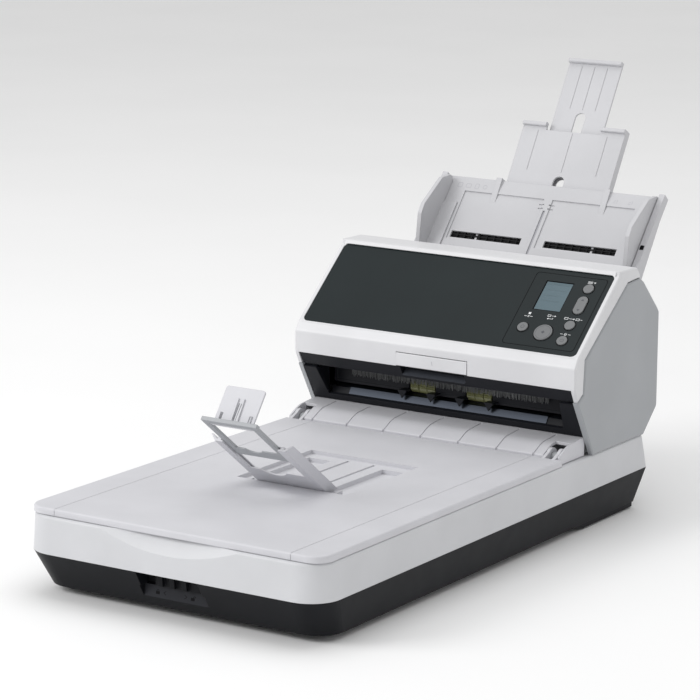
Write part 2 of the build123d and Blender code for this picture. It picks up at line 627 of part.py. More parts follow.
TANGENT = -125.7  # where the straight chute plane runs into the arc
PICK_RADIUS, FEED_RADIUS, EJECT_RADIUS, BRAKE_RADIUS = 12.0, 10.0, 7.0, 10.0
NIP = 0.1  # half the paper gap between a pair of rollers
PICK = chute_point(-62.9, -(PICK_RADIUS + NIP))
BRAKE = chute_point(-62.9, BRAKE_RADIUS + NIP)
FEED = path_point(40, PATH_RADIUS + NIP + FEED_RADIUS)
EJECT = path_point(0, PATH_RADIUS + NIP + EJECT_RADIUS)
PINCH = path_point(0, PATH_RADIUS - NIP - EJECT_RADIUS)
MOTOR = (545.0, 105.0)
SHAFT = 3.0
UPPER_SHAFT = 2.5
SCAN_ANGLE = 22.0
CHASSIS_X = (141.0, 144.0)
OUTER_BELT_X = (135.0, 139.0)
INNER_BELT_X = (129.0, 133.0)

with BuildPart() as adf_side_covers:
    for side in (-1, 1):
        side_plate(SIDE_OUTLINE, sorted((side * SIDE_X[0], side * SIDE_X[1])))
    for face in (faces().sort_by(Axis.X)[0], faces().sort_by(Axis.X)[-1]):
        chamfer(face.edges(), 1.2)
    inner = [
        (457, 73.5),
        (441, 98),
        (426, 123.5),
        (434.6, 128.5),
        (436.6, 160.0),
        (513.3, 216.8),
        (536, 218),
        (542.6, 214.2),
        (571.4, 186.5),
        (574, 183),
        (575.0, 95),
        (551.2, 73.4),
    ]
    for side in (-1, 1):
        side_plate(inner, sorted((side * 144, side * 147.4)), Mode.SUBTRACT)
save(adf_side_covers.part, "adf_side_covers")

with BuildPart() as adf_rear_cover:
    side_plate(
        [
            (545.5, 215.4),
            (573.4, 188.1, 2),
            (576.6, 184, 3),
            (577.8, 93.7, 5),
            (552.5, 70.6),
            (549.5, 73.2),
            (575.1, 95, 3),
            (574.1, 183, 2),
            (544.5, 212.2),
        ],
        (-REAR_HALF, REAR_HALF),
    )
    # paper inlet, and vents low on the back
    side_plate(
        [(540, 225), (600, 225), (600, 181.5), (571, 181.5), (560, 186), (540, 205)],
        (-INLET_HALF, INLET_HALF),
        Mode.SUBTRACT,
    )
    for i in range(12):
        block((-116 + 7 * i, -113 + 7 * i), (570, 580), (106, 128), Mode.SUBTRACT)
save(adf_rear_cover.part, "adf_rear_cover")

with BuildPart() as adf_chassis:
    chassis = [
        (449, 73),
        (449, 118),
        (462, 150),
        (505, 200),
        (537, 220),
        (541, 222),
        (543.8, 217),
        (543.8, 211),
        (567, 188),
        (571, 183),
        (571, 97),
        (546, 73),
    ]
    for side in (-1, 1):
        x = sorted((side * CHASSIS_X[0], side * CHASSIS_X[1]))
        side_plate(chassis, x)
        rod(3.6, x, *PIVOT)
        for centre in (PICK, FEED, EJECT):
            rod(SHAFT + RUN, x, *centre, Mode.SUBTRACT)
        side_plate([(480, 150), (515, 190), (530, 180), (505, 145)], x, Mode.SUBTRACT)
    block((-141.5, 141.5), (452, 545), (73, 74.6))
    # pins of the cover's hinge
    for side in (-1, 1):
        rod(2, sorted((side * 137, side * 141.5)), *PIVOT)
save(adf_chassis.part, "adf_chassis")

BEZEL_LEAN = Vector(0, -0.852, -0.524)
BEZEL_FRAME = Plane(origin=(0, FRONT + 443, 88.9), x_dir=(1, 0, 0), z_dir=BEZEL_LEAN)
with BuildPart() as exit_bezel:
    with BuildSketch(BEZEL_FRAME) as opening:
        with BuildLine() as rim:
            Polyline((-144.2, 0), (144.2, 0), (144.2, 39), (-144.2, 39), close=True)
        make_face(rim.edges())
        with BuildLine() as hole:
            Polyline((-126, 6.5), (126, 6.5), (131, 45), (-131, 45), close=True)
        make_face(hole.edges(), mode=Mode.SUBTRACT)
    extrude(opening.sketch, amount=-3)
    both_sides((131.4, 133.4), (444, 449), (92, 122))
    for side in (-1, 1):
        side_plate([(425, 121), (441.5, 94), (446, 94), (446, 121)], sorted((side * 131.4, side * 133.4)))
save(exit_bezel.part, "exit_bezel")

with BuildPart() as lower_paper_guide:
    path_shell(PATH_RADIUS + 1, PATH_RADIUS + 3.5, (0, CHUTE_ANGLE), 126)
    block((-126, 126), (TANGENT - 0.1, -47), (-3.5, -1), frame=CHUTE_FRAME)
    side_plate(
        [(458.3, 102.3), (447, 101), (443.4, 95.6), (446, 94), (449, 98.4), (458.3, 99.8)],
        (-126, 126),
    )
    web = [(452, 74.7), (452, 98), (490, 103), (540, 152), (558, 176), (560, 176), (560, 92), (549, 74.7)]
    for side in (-1, 1):
        x = sorted((side * 124, side * 126))
        side_plate(web, x)
    for x in (-60, 0, 60):
        side_plate([(462, 74.7), (462, 100.6), (468, 101.5), (468, 74.7)], (x - 1, x + 1))
    for radius, centre, x in (
        (PICK_RADIUS, PICK, (5, 27)),
        (FEED_RADIUS, FEED, (19, 46)),
        (EJECT_RADIUS, EJECT, (16, 45)),
    ):
        for side in (-1, 1):
            rod(radius + 0.7, sorted((side * x[0], side * x[1])), *centre, Mode.SUBTRACT)
        rod(SHAFT + 1, (-127, 127), *centre, Mode.SUBTRACT)
    block((-113, 113), (-8, 8), (-8, 3), Mode.SUBTRACT, path_frame(SCAN_ANGLE))
    rod(3, (120, 130), *MOTOR, Mode.SUBTRACT)
save(lower_paper_guide.part, "lower_paper_guide")

with BuildPart() as exit_plate:
    side_plate(
        [(442.7, 96.2), (446.6, 102.0), (454, 102.9), (454, 102.1), (446.95, 101.3), (443.2, 95.8)],
        (-106, 106),
    )
    for side in (-1, 1):
        rod(EJECT_RADIUS + 0.7, sorted((side * 16, side * 45)), *EJECT, Mode.SUBTRACT)
save(exit_plate.part, "exit_plate")

with BuildPart() as lower_scan_unit:
    scan = path_frame(SCAN_ANGLE)
    block((-118, 118), (-12, 12), (-26, -4.6), frame=scan)
    block((-112, 112), (-7, 7), (-4.7, -1.2), frame=scan)
    block((-110, 110), (-9, 9), (-24, -7), Mode.SUBTRACT, scan)
save(lower_scan_unit.part, "lower_scan_unit")


def roller(tyre, radius, centre, shaft, reach, pulleys=()):
    """Shaft with a tyre left and right, and pulleys as (radius, low x, high x)."""
    rod(shaft, (-reach, reach), *centre)
    for side in (-1, 1):
        rod(radius, sorted((side * tyre[0], side * tyre[1])), *centre)
    for size, low, high in pulleys:
        rod(size, (low, high), *centre)


PULLEY = 7.0
EJECT_PULLEY = 5.4
MOTOR_PULLEY = 5.0
with BuildPart() as pick_roller:
    roller((6, 26), PICK_RADIUS, PICK, SHAFT, 143.8, ((PULLEY, *OUTER_BELT_X),))
save(pick_roller.part, "pick_roller")

with BuildPart() as feed_roller:
    roller((20, 45), FEED_RADIUS, FEED, SHAFT, 143.8, ((PULLEY, *OUTER_BELT_X), (PULLEY, *INNER_BELT_X)))
save(feed_roller.part, "feed_roller")

with BuildPart() as eject_roller:
    roller((17, 44), EJECT_RADIUS, EJECT, SHAFT, 143.8, ((EJECT_PULLEY, *INNER_BELT_X),))
save(eject_roller.part, "eject_roller")

with BuildPart() as feed_motor:
    rod(15, (88, 122.5), *MOTOR)
    rod(5, (122, 124), *MOTOR)
    rod(2, (122, 139.6), *MOTOR)
    block((92, 118), (535, 547), (74.6, 93))
save(feed_motor.part, "feed_motor")

with BuildPart() as motor_pulley:
    rod(MOTOR_PULLEY, OUTER_BELT_X, *MOTOR)
    rod(2 + RUN, (130, 142), *MOTOR, Mode.SUBTRACT)
save(motor_pulley.part, "motor_pulley")


def belt(wheels, x):
    """Flat belt wrapped round pulleys given as (centre, radius)."""
    for grow, mode in ((1.5, Mode.ADD), (0.3, Mode.SUBTRACT)):
        with BuildSketch() as circles:
            for centre, radius in wheels:
                with Locations(centre):
                    Circle(radius + grow)
        with BuildSketch(side_plane(x[0])) as loop:
            make_hull(circles.edges())
        extrude(loop.sketch, amount=x[1] - x[0], mode=mode)


with BuildPart() as feed_belts:
    belt(
        [(PICK, PULLEY), (FEED, PULLEY), (MOTOR, MOTOR_PULLEY)],
        (OUTER_BELT_X[0] + 0.4, OUTER_BELT_X[1] - 0.4),
    )
    belt([(FEED, PULLEY), (EJECT, EJECT_PULLEY)], (INNER_BELT_X[0] + 0.4, INNER_BELT_X[1] - 0.4))
save(feed_belts.part, "feed_belts")

# ================================================================ sheet feeder, opening cover
FLANK = [
    (421.6, 124.9),
    (415.4, 136.4, 8),
    (415.0, 157, 6),
    (421.3, 166.2, 5),
    (496.2, 229),
    (496.5, 232.7),
    (530, 232.2, 5),
    (536.6, 224.5),
    (536.9, 221.8),
    (512.3, 220.3),
    (432.9, 162.0),
    (431.1, 131.0),
]
BAND = [
    (415.5, 136.6),
    (415.2, 146),
    (415.0, 157, 5),
    (421.3, 166.2, 3),
    (425.5, 169.6),
    (427.5, 167.2),
    (417.7, 157.2, 4),
    (418.0, 136.6),
]
TOP_STRIP = [
    (494, 226.6),
    (496.3, 232.7, 2),
    (530, 232.2, 4),
    (536.6, 224.5),
    (536.9, 221.8),
    (534.4, 221.9),
    (534.2, 223.5),
    (529, 229.8),
    (499, 230.3),
    (497.5, 226),
]
BUTTONS = {
    "menu_button": (125.5, 78.4, 5.0, 0.0),
    "rocker_button": (125.7, 58.5, 5.0, 10.6),
    "stop_button": (80.3, 26.1, 5.0, 0.0),
    "scan_button": (102.9, 22.7, 8.8, 0.0),
    "manual_feed_button": (125.1, 34.5, 5.0, 0.0),
    "power_button": (125.0, 16.3, 5.0, 0.0),
}
TAB_HALF = 37.6
TAB_PIVOT = (416.6, 148.3)
PANEL_THICK = 2.2


def button_shape(name, grow, z, mode=Mode.ADD):
    """Round or slot-shaped prism at a button's place on the panel."""
    x, along, radius, stretch = BUTTONS[name]
    with BuildSketch(PANEL_FRAME.offset(z[0])) as section:
        with Locations((x, along)):
            if stretch:
                SlotCenterToCenter(stretch, 2 * (radius + grow), rotation=90)
            else:
                Circle(radius + grow)
    extrude(section.sketch, amount=z[1] - z[0], mode=mode)


def panel_plate(half, length, radius, z, mode=Mode.ADD):
    with BuildSketch(PANEL_FRAME.offset(z[0])) as section:
        with Locations((0, PANEL_LENGTH / 2)):
            RectangleRounded(2 * half, length, radius)
    extrude(section.sketch, amount=z[1] - z[0], mode=mode)


with BuildPart() as adf_cover:
    for side in (-1, 1):
        side_plate(FLANK, sorted((side * 145.3, side * 149.7)))
    for face in (faces().sort_by(Axis.X)[0], faces().sort_by(Axis.X)[-1]):
        chamfer(face.edges(), 1.2)
    side_plate(BAND, (-145.4, 145.4))
    side_plate(TOP_STRIP, (-145.4, 145.4))
    block((-145.4, 145.4), (-1.5, 99.2), (-PANEL_THICK - 2.4, 0), frame=PANEL_FRAME)
    panel_plate(PANEL_HALF + 0.1, PANEL_LENGTH + 0.2, 5.4, (-PANEL_THICK, 1), Mode.SUBTRACT)
    for name in BUTTONS:
        button_shape(name, 0.5, (-6, 0), Mode.SUBTRACT)
    # hinge ears at the rear edge
    for side in (-1, 1):
        x = sorted((side * 137.4, side * 140.6))
        side_plate([(520, 230.6), (531, 229.9), (543.2, 221.4), (542, 216), (532, 221)], x)
        rod(3.4, x, *PIVOT)
        rod(2 + RUN, x, *PIVOT, Mode.SUBTRACT)
    # mouth of the release tab and its bearings
    both_sides((37.9, 42.2), (416, 420.2), (146.2, 150.6))
    block((-TAB_HALF - 0.4, TAB_HALF + 0.4), (410, 425), (130, 150.1), Mode.SUBTRACT)
    rod(1.0 + RUN, (-41.2, 41.2), *TAB_PIVOT, Mode.SUBTRACT)
save(adf_cover.part, "adf_cover")

with BuildPart() as cover_trim:
    side_plate([(416.0, 136.3), (423.1, 124.9), (431.0, 124.9), (431.0, 136.3)], (-144.3, 144.3))
    side_plate([(418.4, 136), (431.0, 136), (431.0, 145.5), (418.4, 145.5)], (-36.5, 36.5))
    side_plate(
        [(410, 136.5), (419.2, 127.5), (427, 133), (427, 143.5), (410, 143.5)], (-34, 34), Mode.SUBTRACT
    )
save(cover_trim.part, "cover_trim")

with BuildPart() as release_tab:
    side_plate(
        [(414.5, 137.2, 0.9), (414.7, 149.4, 0.8), (417.2, 149.4), (417.2, 142), (416.6, 137.2)],
        (-TAB_HALF, TAB_HALF),
    )
    rod(1.0, (-41, 41), *TAB_PIVOT)
save(release_tab.part, "release_tab")

LCD_X = (80.4, 109.0)
LCD_Y = (48.0, 83.0)
with BuildPart() as front_panel:
    panel_plate(PANEL_HALF, PANEL_LENGTH, 5.2, (-PANEL_THICK, 0))
    # outline of the operator panel, sunken by a hair
    with BuildSketch(PANEL_FRAME.offset(-0.35)) as frame_line:
        with Locations(((67 + 140.5) / 2, (5.7 + 91.7) / 2)):
            RectangleRounded(73.9, 86.4, 3.7)
            RectangleRounded(72.5, 85.0, 3.0, mode=Mode.SUBTRACT)
    extrude(frame_line.sketch, amount=1, mode=Mode.SUBTRACT)
    block(LCD_X, LCD_Y, (-1.5, 1), Mode.SUBTRACT, PANEL_FRAME)
    for name in BUTTONS:
        button_shape(name, 0.25, (-3, 1), Mode.SUBTRACT)
save(front_panel.part, "front_panel")

with BuildPart() as lcd_screen:
    block(
        (LCD_X[0] + 0.1, LCD_X[1] - 0.1), (LCD_Y[0] + 0.1, LCD_Y[1] - 0.1), (-1.5, -0.5), frame=PANEL_FRAME
    )
save(lcd_screen.part, "lcd_screen")

for name in BUTTONS:
    with BuildPart() as button:
        button_shape(name, 0, (-4.2, 1.1))
    save(button.part, name)

with BuildPart() as upper_paper_guide:
    path_shell(PATH_RADIUS - 3.5, PATH_RADIUS - 1, (-6, CHUTE_ANGLE), 124)
    block((-124, 124), (TANGENT - 0.1, -50), (1, 3.5), frame=CHUTE_FRAME)
    side_plate(
        [chute_point(-50.5, 1), (538.2, 216.6), (535.5, 214.6), chute_point(-53.5, 3.4)], (-124, 124)
    )
    # front wall with its pointed tabs, and the carrier plates of the upper rollers
    block((-124, 124), (451.6, 453.4), (106, 124))
    for x in (-46.5, -15.5, 15.5, 46.5):
        block((x - 4.5, x + 4.5), (441, 453), (106.5, 107.7))
        with BuildSketch(Plane(origin=(x, FRONT + 441, 106.6), x_dir=(1, 0, 0), z_dir=(0, -1, 0))) as tooth:
            with BuildLine() as edge:
                Polyline((-4.5, 0), (4.5, 0), (0, -6.6), close=True)
            make_face(edge.edges())
        extrude(tooth.sketch, amount=-1.6)
    carrier = [
        (451, 105),
        (451, 183.5),
        (494, 219.6),
        (528, 221),
        (536, 214),
        (552, 181.5),
        (520, 141.2),
        (500, 123.5),
        (480, 113),
        (470, 108),
    ]
    for side in (-1, 1):
        side_plate(carrier, sorted((side * 123.8, side * 127)))
    for radius, centre, x in ((BRAKE_RADIUS, BRAKE, (5, 27)), (EJECT_RADIUS, PINCH, (16, 45))):
        for side in (-1, 1):
            rod(radius + 0.7, sorted((side * x[0], side * x[1])), *centre, Mode.SUBTRACT)
        rod(UPPER_SHAFT + 1, (-123.7, 123.7), *centre, Mode.SUBTRACT)
        rod(UPPER_SHAFT + RUN, (-128, 128), *centre, Mode.SUBTRACT)
    both_sides((16, 45), (450, 455), (100, 116), Mode.SUBTRACT)
    block((-113, 113), (-7.5, 7.5), (-3, 8), Mode.SUBTRACT, path_frame(SCAN_ANGLE))
save(upper_paper_guide.part, "upper_paper_guide")

with BuildPart() as exit_brush:
    block((-106, 106), (447.6, 451.6), (112, 122))
    for side in (-1, 1):
        rod(EJECT_RADIUS + 0.7, sorted((side * 16, side * 45)), *PINCH, Mode.SUBTRACT)
save(exit_brush.part, "exit_brush")

with BuildPart() as upper_scan_unit:
    block((-118, 118), (-11, 11), (4.6, 24), frame=scan)
    block((-112, 112), (-6.5, 6.5), (1.2, 4.7), frame=scan)
    block((-110, 110), (-8, 8), (7, 22), Mode.SUBTRACT, scan)
save(upper_scan_unit.part, "upper_scan_unit")

with BuildPart() as brake_roller:
    roller((6, 26), BRAKE_RADIUS, BRAKE, UPPER_SHAFT, 128.6)
save(brake_roller.part, "brake_roller")

with BuildPart() as pinch_roller:
    roller((17, 44), EJECT_RADIUS, PINCH, UPPER_SHAFT, 128.6)
save(pinch_roller.part, "pinch_roller")

# ================================================================ paper chute
RIM = (116.0, CHUTE_HALF)
SLEEVE_HALF = 56.4
EXTENSION_THICK = 8.4
EXTENSION_NORMAL = Axis((0, 0, 0), EXTENSION_FRAME.z_dir)
EXTENSION_REACH = 64.9
EXTENSION_HALF = 56.0
TIP_HALF = 29.0
chute_side = [
    chute_point(-46, -0.5),
    chute_point(50, -0.5),
    chute_point(50, -3),
    (593.5, 208.4),
    (580.5, 187.0),
]

with BuildPart() as paper_chute:
    block((-CHUTE_HALF, CHUTE_HALF), (CHUTE_BOTTOM, CHUTE_TOP), (-3, 0), frame=CHUTE_FRAME)
    for side in (-1, 1):
        side_plate(chute_side, sorted((side * 119.4, side * CHUTE_HALF)))
        side_plate(chute_side, sorted((side * 62.2, side * 64.4)))
    both_sides(RIM, (CHUTE_BOTTOM, CHUTE_TOP), (-1, 6), frame=CHUTE_FRAME)
    # sunken field each side of the middle bar, with the slot across its foot
    both_sides((4.5, 93.2), (3.5, 58.5), (-1.1, 1), Mode.SUBTRACT, CHUTE_FRAME)
    block((-1.3, 1.3), (CHUTE_BOTTOM, 45.5), (-1.1, 1), Mode.SUBTRACT, CHUTE_FRAME)
    both_sides((12.7, 90.4), (5.5, 13), (-4, 1), Mode.SUBTRACT, CHUTE_FRAME)
    # short slots each side of the bar's head
    both_sides((2.6, 8.2), (47.4, 48.6), (-1.9, 1), Mode.SUBTRACT, CHUTE_FRAME)
    both_sides((2.6, 8.2), (51.8, 53), (-1.9, 1), Mode.SUBTRACT, CHUTE_FRAME)
    # sleeve of the extension, behind the upper half
    sleeve = (-88, -1.2)
    block((-60, 60), sleeve, (-EXTENSION_THICK - 2.8, -EXTENSION_THICK - 0.3), frame=EXTENSION_FRAME)
    both_sides((SLEEVE_HALF, 62.5), sleeve, (-EXTENSION_THICK - 2.8, 9), frame=EXTENSION_FRAME)
    block((-60, 60), (-88, -86), (-EXTENSION_THICK - 2.8, 3), frame=EXTENSION_FRAME)
    block((-60, 60), sleeve, (0.3, 2.2), frame=EXTENSION_FRAME)
save(paper_chute.part, "paper_chute")

with BuildPart() as chute_extension:
    block((-EXTENSION_HALF, EXTENSION_HALF), (-40, EXTENSION_REACH), (-2, 0), frame=EXTENSION_FRAME)
    both_sides(
        (53.4, EXTENSION_HALF), (-40, EXTENSION_REACH), (-EXTENSION_THICK, -1), frame=EXTENSION_FRAME
    )
    both_sides(
        (TIP_HALF + 0.4, 32.6), (-40, EXTENSION_REACH - 6), (-EXTENSION_THICK, -1), frame=EXTENSION_FRAME
    )
    block((-32.6, 32.6), (-40, EXTENSION_REACH - 6), (-EXTENSION_THICK, -7.4), frame=EXTENSION_FRAME)
    block((-32.6, 32.6), (-40, -38), (-EXTENSION_THICK, -1), frame=EXTENSION_FRAME)
    both_sides(
        (30, EXTENSION_HALF), (EXTENSION_REACH - 4.4, EXTENSION_REACH), (-1, 3.2), frame=EXTENSION_FRAME
    )
    fillet(edges().filter_by(Axis.X).sort_by(EXTENSION_NORMAL)[-4:], 1.4)
    block((-30, 30), (EXTENSION_REACH - 7.5, EXTENSION_REACH + 1), (-3, 4), Mode.SUBTRACT, EXTENSION_FRAME)
    with BuildSketch(EXTENSION_FRAME.offset(-EXTENSION_THICK - 1)) as arch:
        with Locations((0, -7)):
            SlotCenterToCenter(22, 12, rotation=90)
    extrude(arch.sketch, amount=EXTENSION_THICK + 2, mode=Mode.SUBTRACT)
    for x in (-38, 0, 38):
        block((x - 0.3, x + 0.3), (14, 56), (-0.35, 1), Mode.SUBTRACT, EXTENSION_FRAME)
save(chute_extension.part, "chute_extension")

with BuildPart() as extension_tip:
    block((-TIP_HALF, TIP_HALF), (28, TIP_REACH), (-TIP_BACK, -5.1), frame=EXTENSION_FRAME)
    block((-TIP_HALF, TIP_HALF), (TIP_REACH - 4.4, TIP_REACH), (-6, -1.0), frame=EXTENSION_FRAME)
    fillet(edges().filter_by(Axis.X).sort_by(EXTENSION_NORMAL)[-2:], 1.6)
    with BuildSketch(EXTENSION_FRAME.offset(-8)) as arch:
        with Locations((0, 68)):
            SlotCenterToCenter(14, 11, rotation=90)
    extrude(arch.sketch, amount=4, mode=Mode.SUBTRACT)
    for x in (-14, 0, 14):
        block((x - 0.3, x + 0.3), (84, 130), (-5.45, -4), Mode.SUBTRACT, EXTENSION_FRAME)
save(extension_tip.part, "extension_tip")

GUIDE_SIDE = [
    chute_point(-26, 0.5),
    (572.6, 206.5, 3),
    (575.1, 222.5),
    (578.7, 250.7, 4),
    (584.4, 259.2, 6),
    (617.6, 280.3, 6),
    (634.2, 281.3, 2),
    chute_point(69, 0.5),
]
for side, name in ((-1, "left_side_guide"), (1, "right_side_guide")):
    with BuildPart() as side_guide:
        side_plate(GUIDE_SIDE, sorted((side * GUIDE_INNER, side * (GUIDE_INNER + 4.2))))
        block(sorted((side * 96, side * (GUIDE_INNER + 1))), (-20, 44), (0.3, 1.6), frame=CHUTE_FRAME)
    save(side_guide.part, name)
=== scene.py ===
"""Looks of a flatbed document scanner with a sheet feeder.

Materials, small pieces, floor, lights and camera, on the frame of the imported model. Lengths are in metres.
"""

import json
import math
import random

import bmesh
import bpy
from mathutils import Matrix, Vector


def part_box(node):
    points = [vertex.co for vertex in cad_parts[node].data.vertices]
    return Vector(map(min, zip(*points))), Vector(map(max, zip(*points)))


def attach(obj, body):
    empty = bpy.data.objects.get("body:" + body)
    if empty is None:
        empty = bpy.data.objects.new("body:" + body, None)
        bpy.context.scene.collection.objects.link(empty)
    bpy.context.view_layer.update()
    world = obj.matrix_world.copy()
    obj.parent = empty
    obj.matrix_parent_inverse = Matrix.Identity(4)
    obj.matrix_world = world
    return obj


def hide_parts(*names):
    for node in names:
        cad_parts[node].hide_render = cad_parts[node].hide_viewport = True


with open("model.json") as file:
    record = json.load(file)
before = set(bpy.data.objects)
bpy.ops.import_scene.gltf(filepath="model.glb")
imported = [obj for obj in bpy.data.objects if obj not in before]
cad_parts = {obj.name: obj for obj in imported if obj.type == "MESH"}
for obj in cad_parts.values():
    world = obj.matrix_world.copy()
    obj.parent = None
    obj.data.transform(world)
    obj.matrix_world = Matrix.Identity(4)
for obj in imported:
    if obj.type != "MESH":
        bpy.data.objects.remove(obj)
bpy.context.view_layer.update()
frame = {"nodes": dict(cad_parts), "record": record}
MM = 0.001

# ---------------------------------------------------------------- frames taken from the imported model
PANEL_ANGLE = math.radians(40)
CHUTE_ANGLE = math.radians(49.3)


def reach(node, direction):
    """Lowest and highest value of a CAD node along a direction."""
    values = [direction.dot(v.co) for v in frame["nodes"][node].data.vertices]
    return min(values), max(values)


def slope(node, angle):
    """Frame on a sloping plate, from its foot: X across, Y up the slope, Z out of its top face."""
    up = Vector((0, math.cos(angle), math.sin(angle)))
    out = Vector((0, -math.sin(angle), math.cos(angle)))
    origin = up * reach(node, up)[0] + out * reach(node, out)[1]
    return Matrix((Vector((1, 0, 0)), up, out)).transposed().to_4x4(), origin


def placed(rotation, origin):
    return Matrix.Translation(origin) @ rotation


PANEL = placed(*slope("front_panel", PANEL_ANGLE))
FRONT_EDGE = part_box("base_tray")[0].y


# ---------------------------------------------------------------- materials
def new_material(name):
    made = bpy.data.materials.new(name)
    made.use_nodes = True
    tree = made.node_tree
    shader = tree.nodes["Principled BSDF"]
    return made, tree, shader


def noise(tree, scale, detail=2.0, stretch=(1, 1, 1)):
    """Noise over the piece's own coordinates, in features per metre."""
    place = tree.nodes.new("ShaderNodeTexCoord")
    mapping = tree.nodes.new("ShaderNodeMapping")
    mapping.inputs["Scale"].default_value = stretch
    tree.links.new(place.outputs["Object"], mapping.inputs["Vector"])
    cloud = tree.nodes.new("ShaderNodeTexNoise")
    cloud.inputs["Scale"].default_value = scale
    cloud.inputs["Detail"].default_value = detail
    tree.links.new(mapping.outputs["Vector"], cloud.inputs["Vector"])
    return cloud.outputs["Fac"]


def ramp(tree, value, low, high, stops=(0.35, 0.65)):
    """Turn a 0 to 1 value into a blend of two colours."""
    made = tree.nodes.new("ShaderNodeValToRGB")
    made.color_ramp.elements[0].position = stops[0]
    made.color_ramp.elements[1].position = stops[1]
    made.color_ramp.elements[0].color = (*low, 1)
    made.color_ramp.elements[1].color = (*high, 1)
    tree.links.new(value, made.inputs["Fac"])
    return made.outputs["Color"]


def spread(tree, value, low, high):
    made = tree.nodes.new("ShaderNodeMapRange")
    made.inputs["To Min"].default_value = low
    made.inputs["To Max"].default_value = high
    tree.links.new(value, made.inputs["Value"])
    return made.outputs["Result"]


def shade(colour, factor):
    return tuple(min(1.0, c * factor) for c in colour)


def edge_mask(tree, radius):
    """Mask for a painted edge highlight, brighter where an edge is near, from the difference between a
    rounded normal and the true one.
    """
    rounded = tree.nodes.new("ShaderNodeBevel")
    rounded.samples = 4
    rounded.inputs["Radius"].default_value = radius
    geometry = tree.nodes.new("ShaderNodeNewGeometry")
    dot = tree.nodes.new("ShaderNodeVectorMath")
    dot.operation = "DOT_PRODUCT"
    tree.links.new(rounded.outputs["Normal"], dot.inputs[0])
    tree.links.new(geometry.outputs["Normal"], dot.inputs[1])
    made = tree.nodes.new("ShaderNodeMapRange")
    made.inputs["From Min"].default_value = 0.99
    made.inputs["From Max"].default_value = 0.75
    tree.links.new(dot.outputs["Value"], made.inputs["Value"])
    return made.outputs["Result"]


def plastic(
    name, colour, rough=0.45, grain=1400, depth=0.05, vary=0.03, edge_highlight=0.05, edge=0.6 * MM, gloss=0.5
):
    """Moulded plastic: spark-eroded grain, faint mottling, painted highlights on its edges and edges rounded
    in the shading.
    """
    made, tree, shader = new_material(name)
    body = ramp(tree, noise(tree, 14, 4), shade(colour, 1 - vary), shade(colour, 1 + vary))
    # painted highlight: the colour is lightened near edges through the edge mask
    lit_edges = tree.nodes.new("ShaderNodeMix")
    lit_edges.data_type = "RGBA"
    lit_edges.inputs[7].default_value = (*[min(1.0, c + edge_highlight) for c in colour], 1)
    tree.links.new(body, lit_edges.inputs[6])
    tree.links.new(edge_mask(tree, edge), lit_edges.inputs[0])
    tree.links.new(lit_edges.outputs[2], shader.inputs["Base Color"])
    patches = spread(tree, noise(tree, 60, 3), rough - 0.05, rough + 0.05)
    tree.links.new(patches, shader.inputs["Roughness"])
    rounded = tree.nodes.new("ShaderNodeBevel")
    rounded.samples = 4
    rounded.inputs["Radius"].default_value = edge
    bump = tree.nodes.new("ShaderNodeBump")
    bump.inputs["Strength"].default_value = depth
    bump.inputs["Distance"].default_value = 0.1 * MM
    tree.links.new(noise(tree, grain, 2), bump.inputs["Height"])
    tree.links.new(rounded.outputs["Normal"], bump.inputs["Normal"])
    tree.links.new(bump.outputs["Normal"], shader.inputs["Normal"])
    shader.inputs["Specular IOR Level"].default_value = gloss
    return made


def metal(name, colour, rough=0.3, stretch=(1, 40, 40)):
    """Brushed sheet metal, its lines running along X unless stretched otherwise."""
    made, tree, shader = new_material(name)
    lines = noise(tree, 40, 4, stretch)
    tree.links.new(ramp(tree, lines, shade(colour, 0.9), colour), shader.inputs["Base Color"])
    tree.links.new(spread(tree, lines, rough - 0.08, rough + 0.12), shader.inputs["Roughness"])
    shader.inputs["Metallic"].default_value = 1.0
    bump = tree.nodes.new("ShaderNodeBump")
    bump.inputs["Strength"].default_value = 0.05
    bump.inputs["Distance"].default_value = 0.05 * MM
    tree.links.new(lines, bump.inputs["Height"])
    tree.links.new(bump.outputs["Normal"], shader.inputs["Normal"])
    return made


def glass(name, colour, alpha):
    """Float glass with a faint green body and a little dust in its gloss."""
    made, tree, shader = new_material(name)
    tree.links.new(ramp(tree, noise(tree, 9, 3), shade(colour, 0.96), colour), shader.inputs["Base Color"])
    tree.links.new(spread(tree, noise(tree, 300, 4), 0.02, 0.09), shader.inputs["Roughness"])
    shader.inputs["Alpha"].default_value = alpha
    shader.inputs["IOR"].default_value = 1.5
    return made


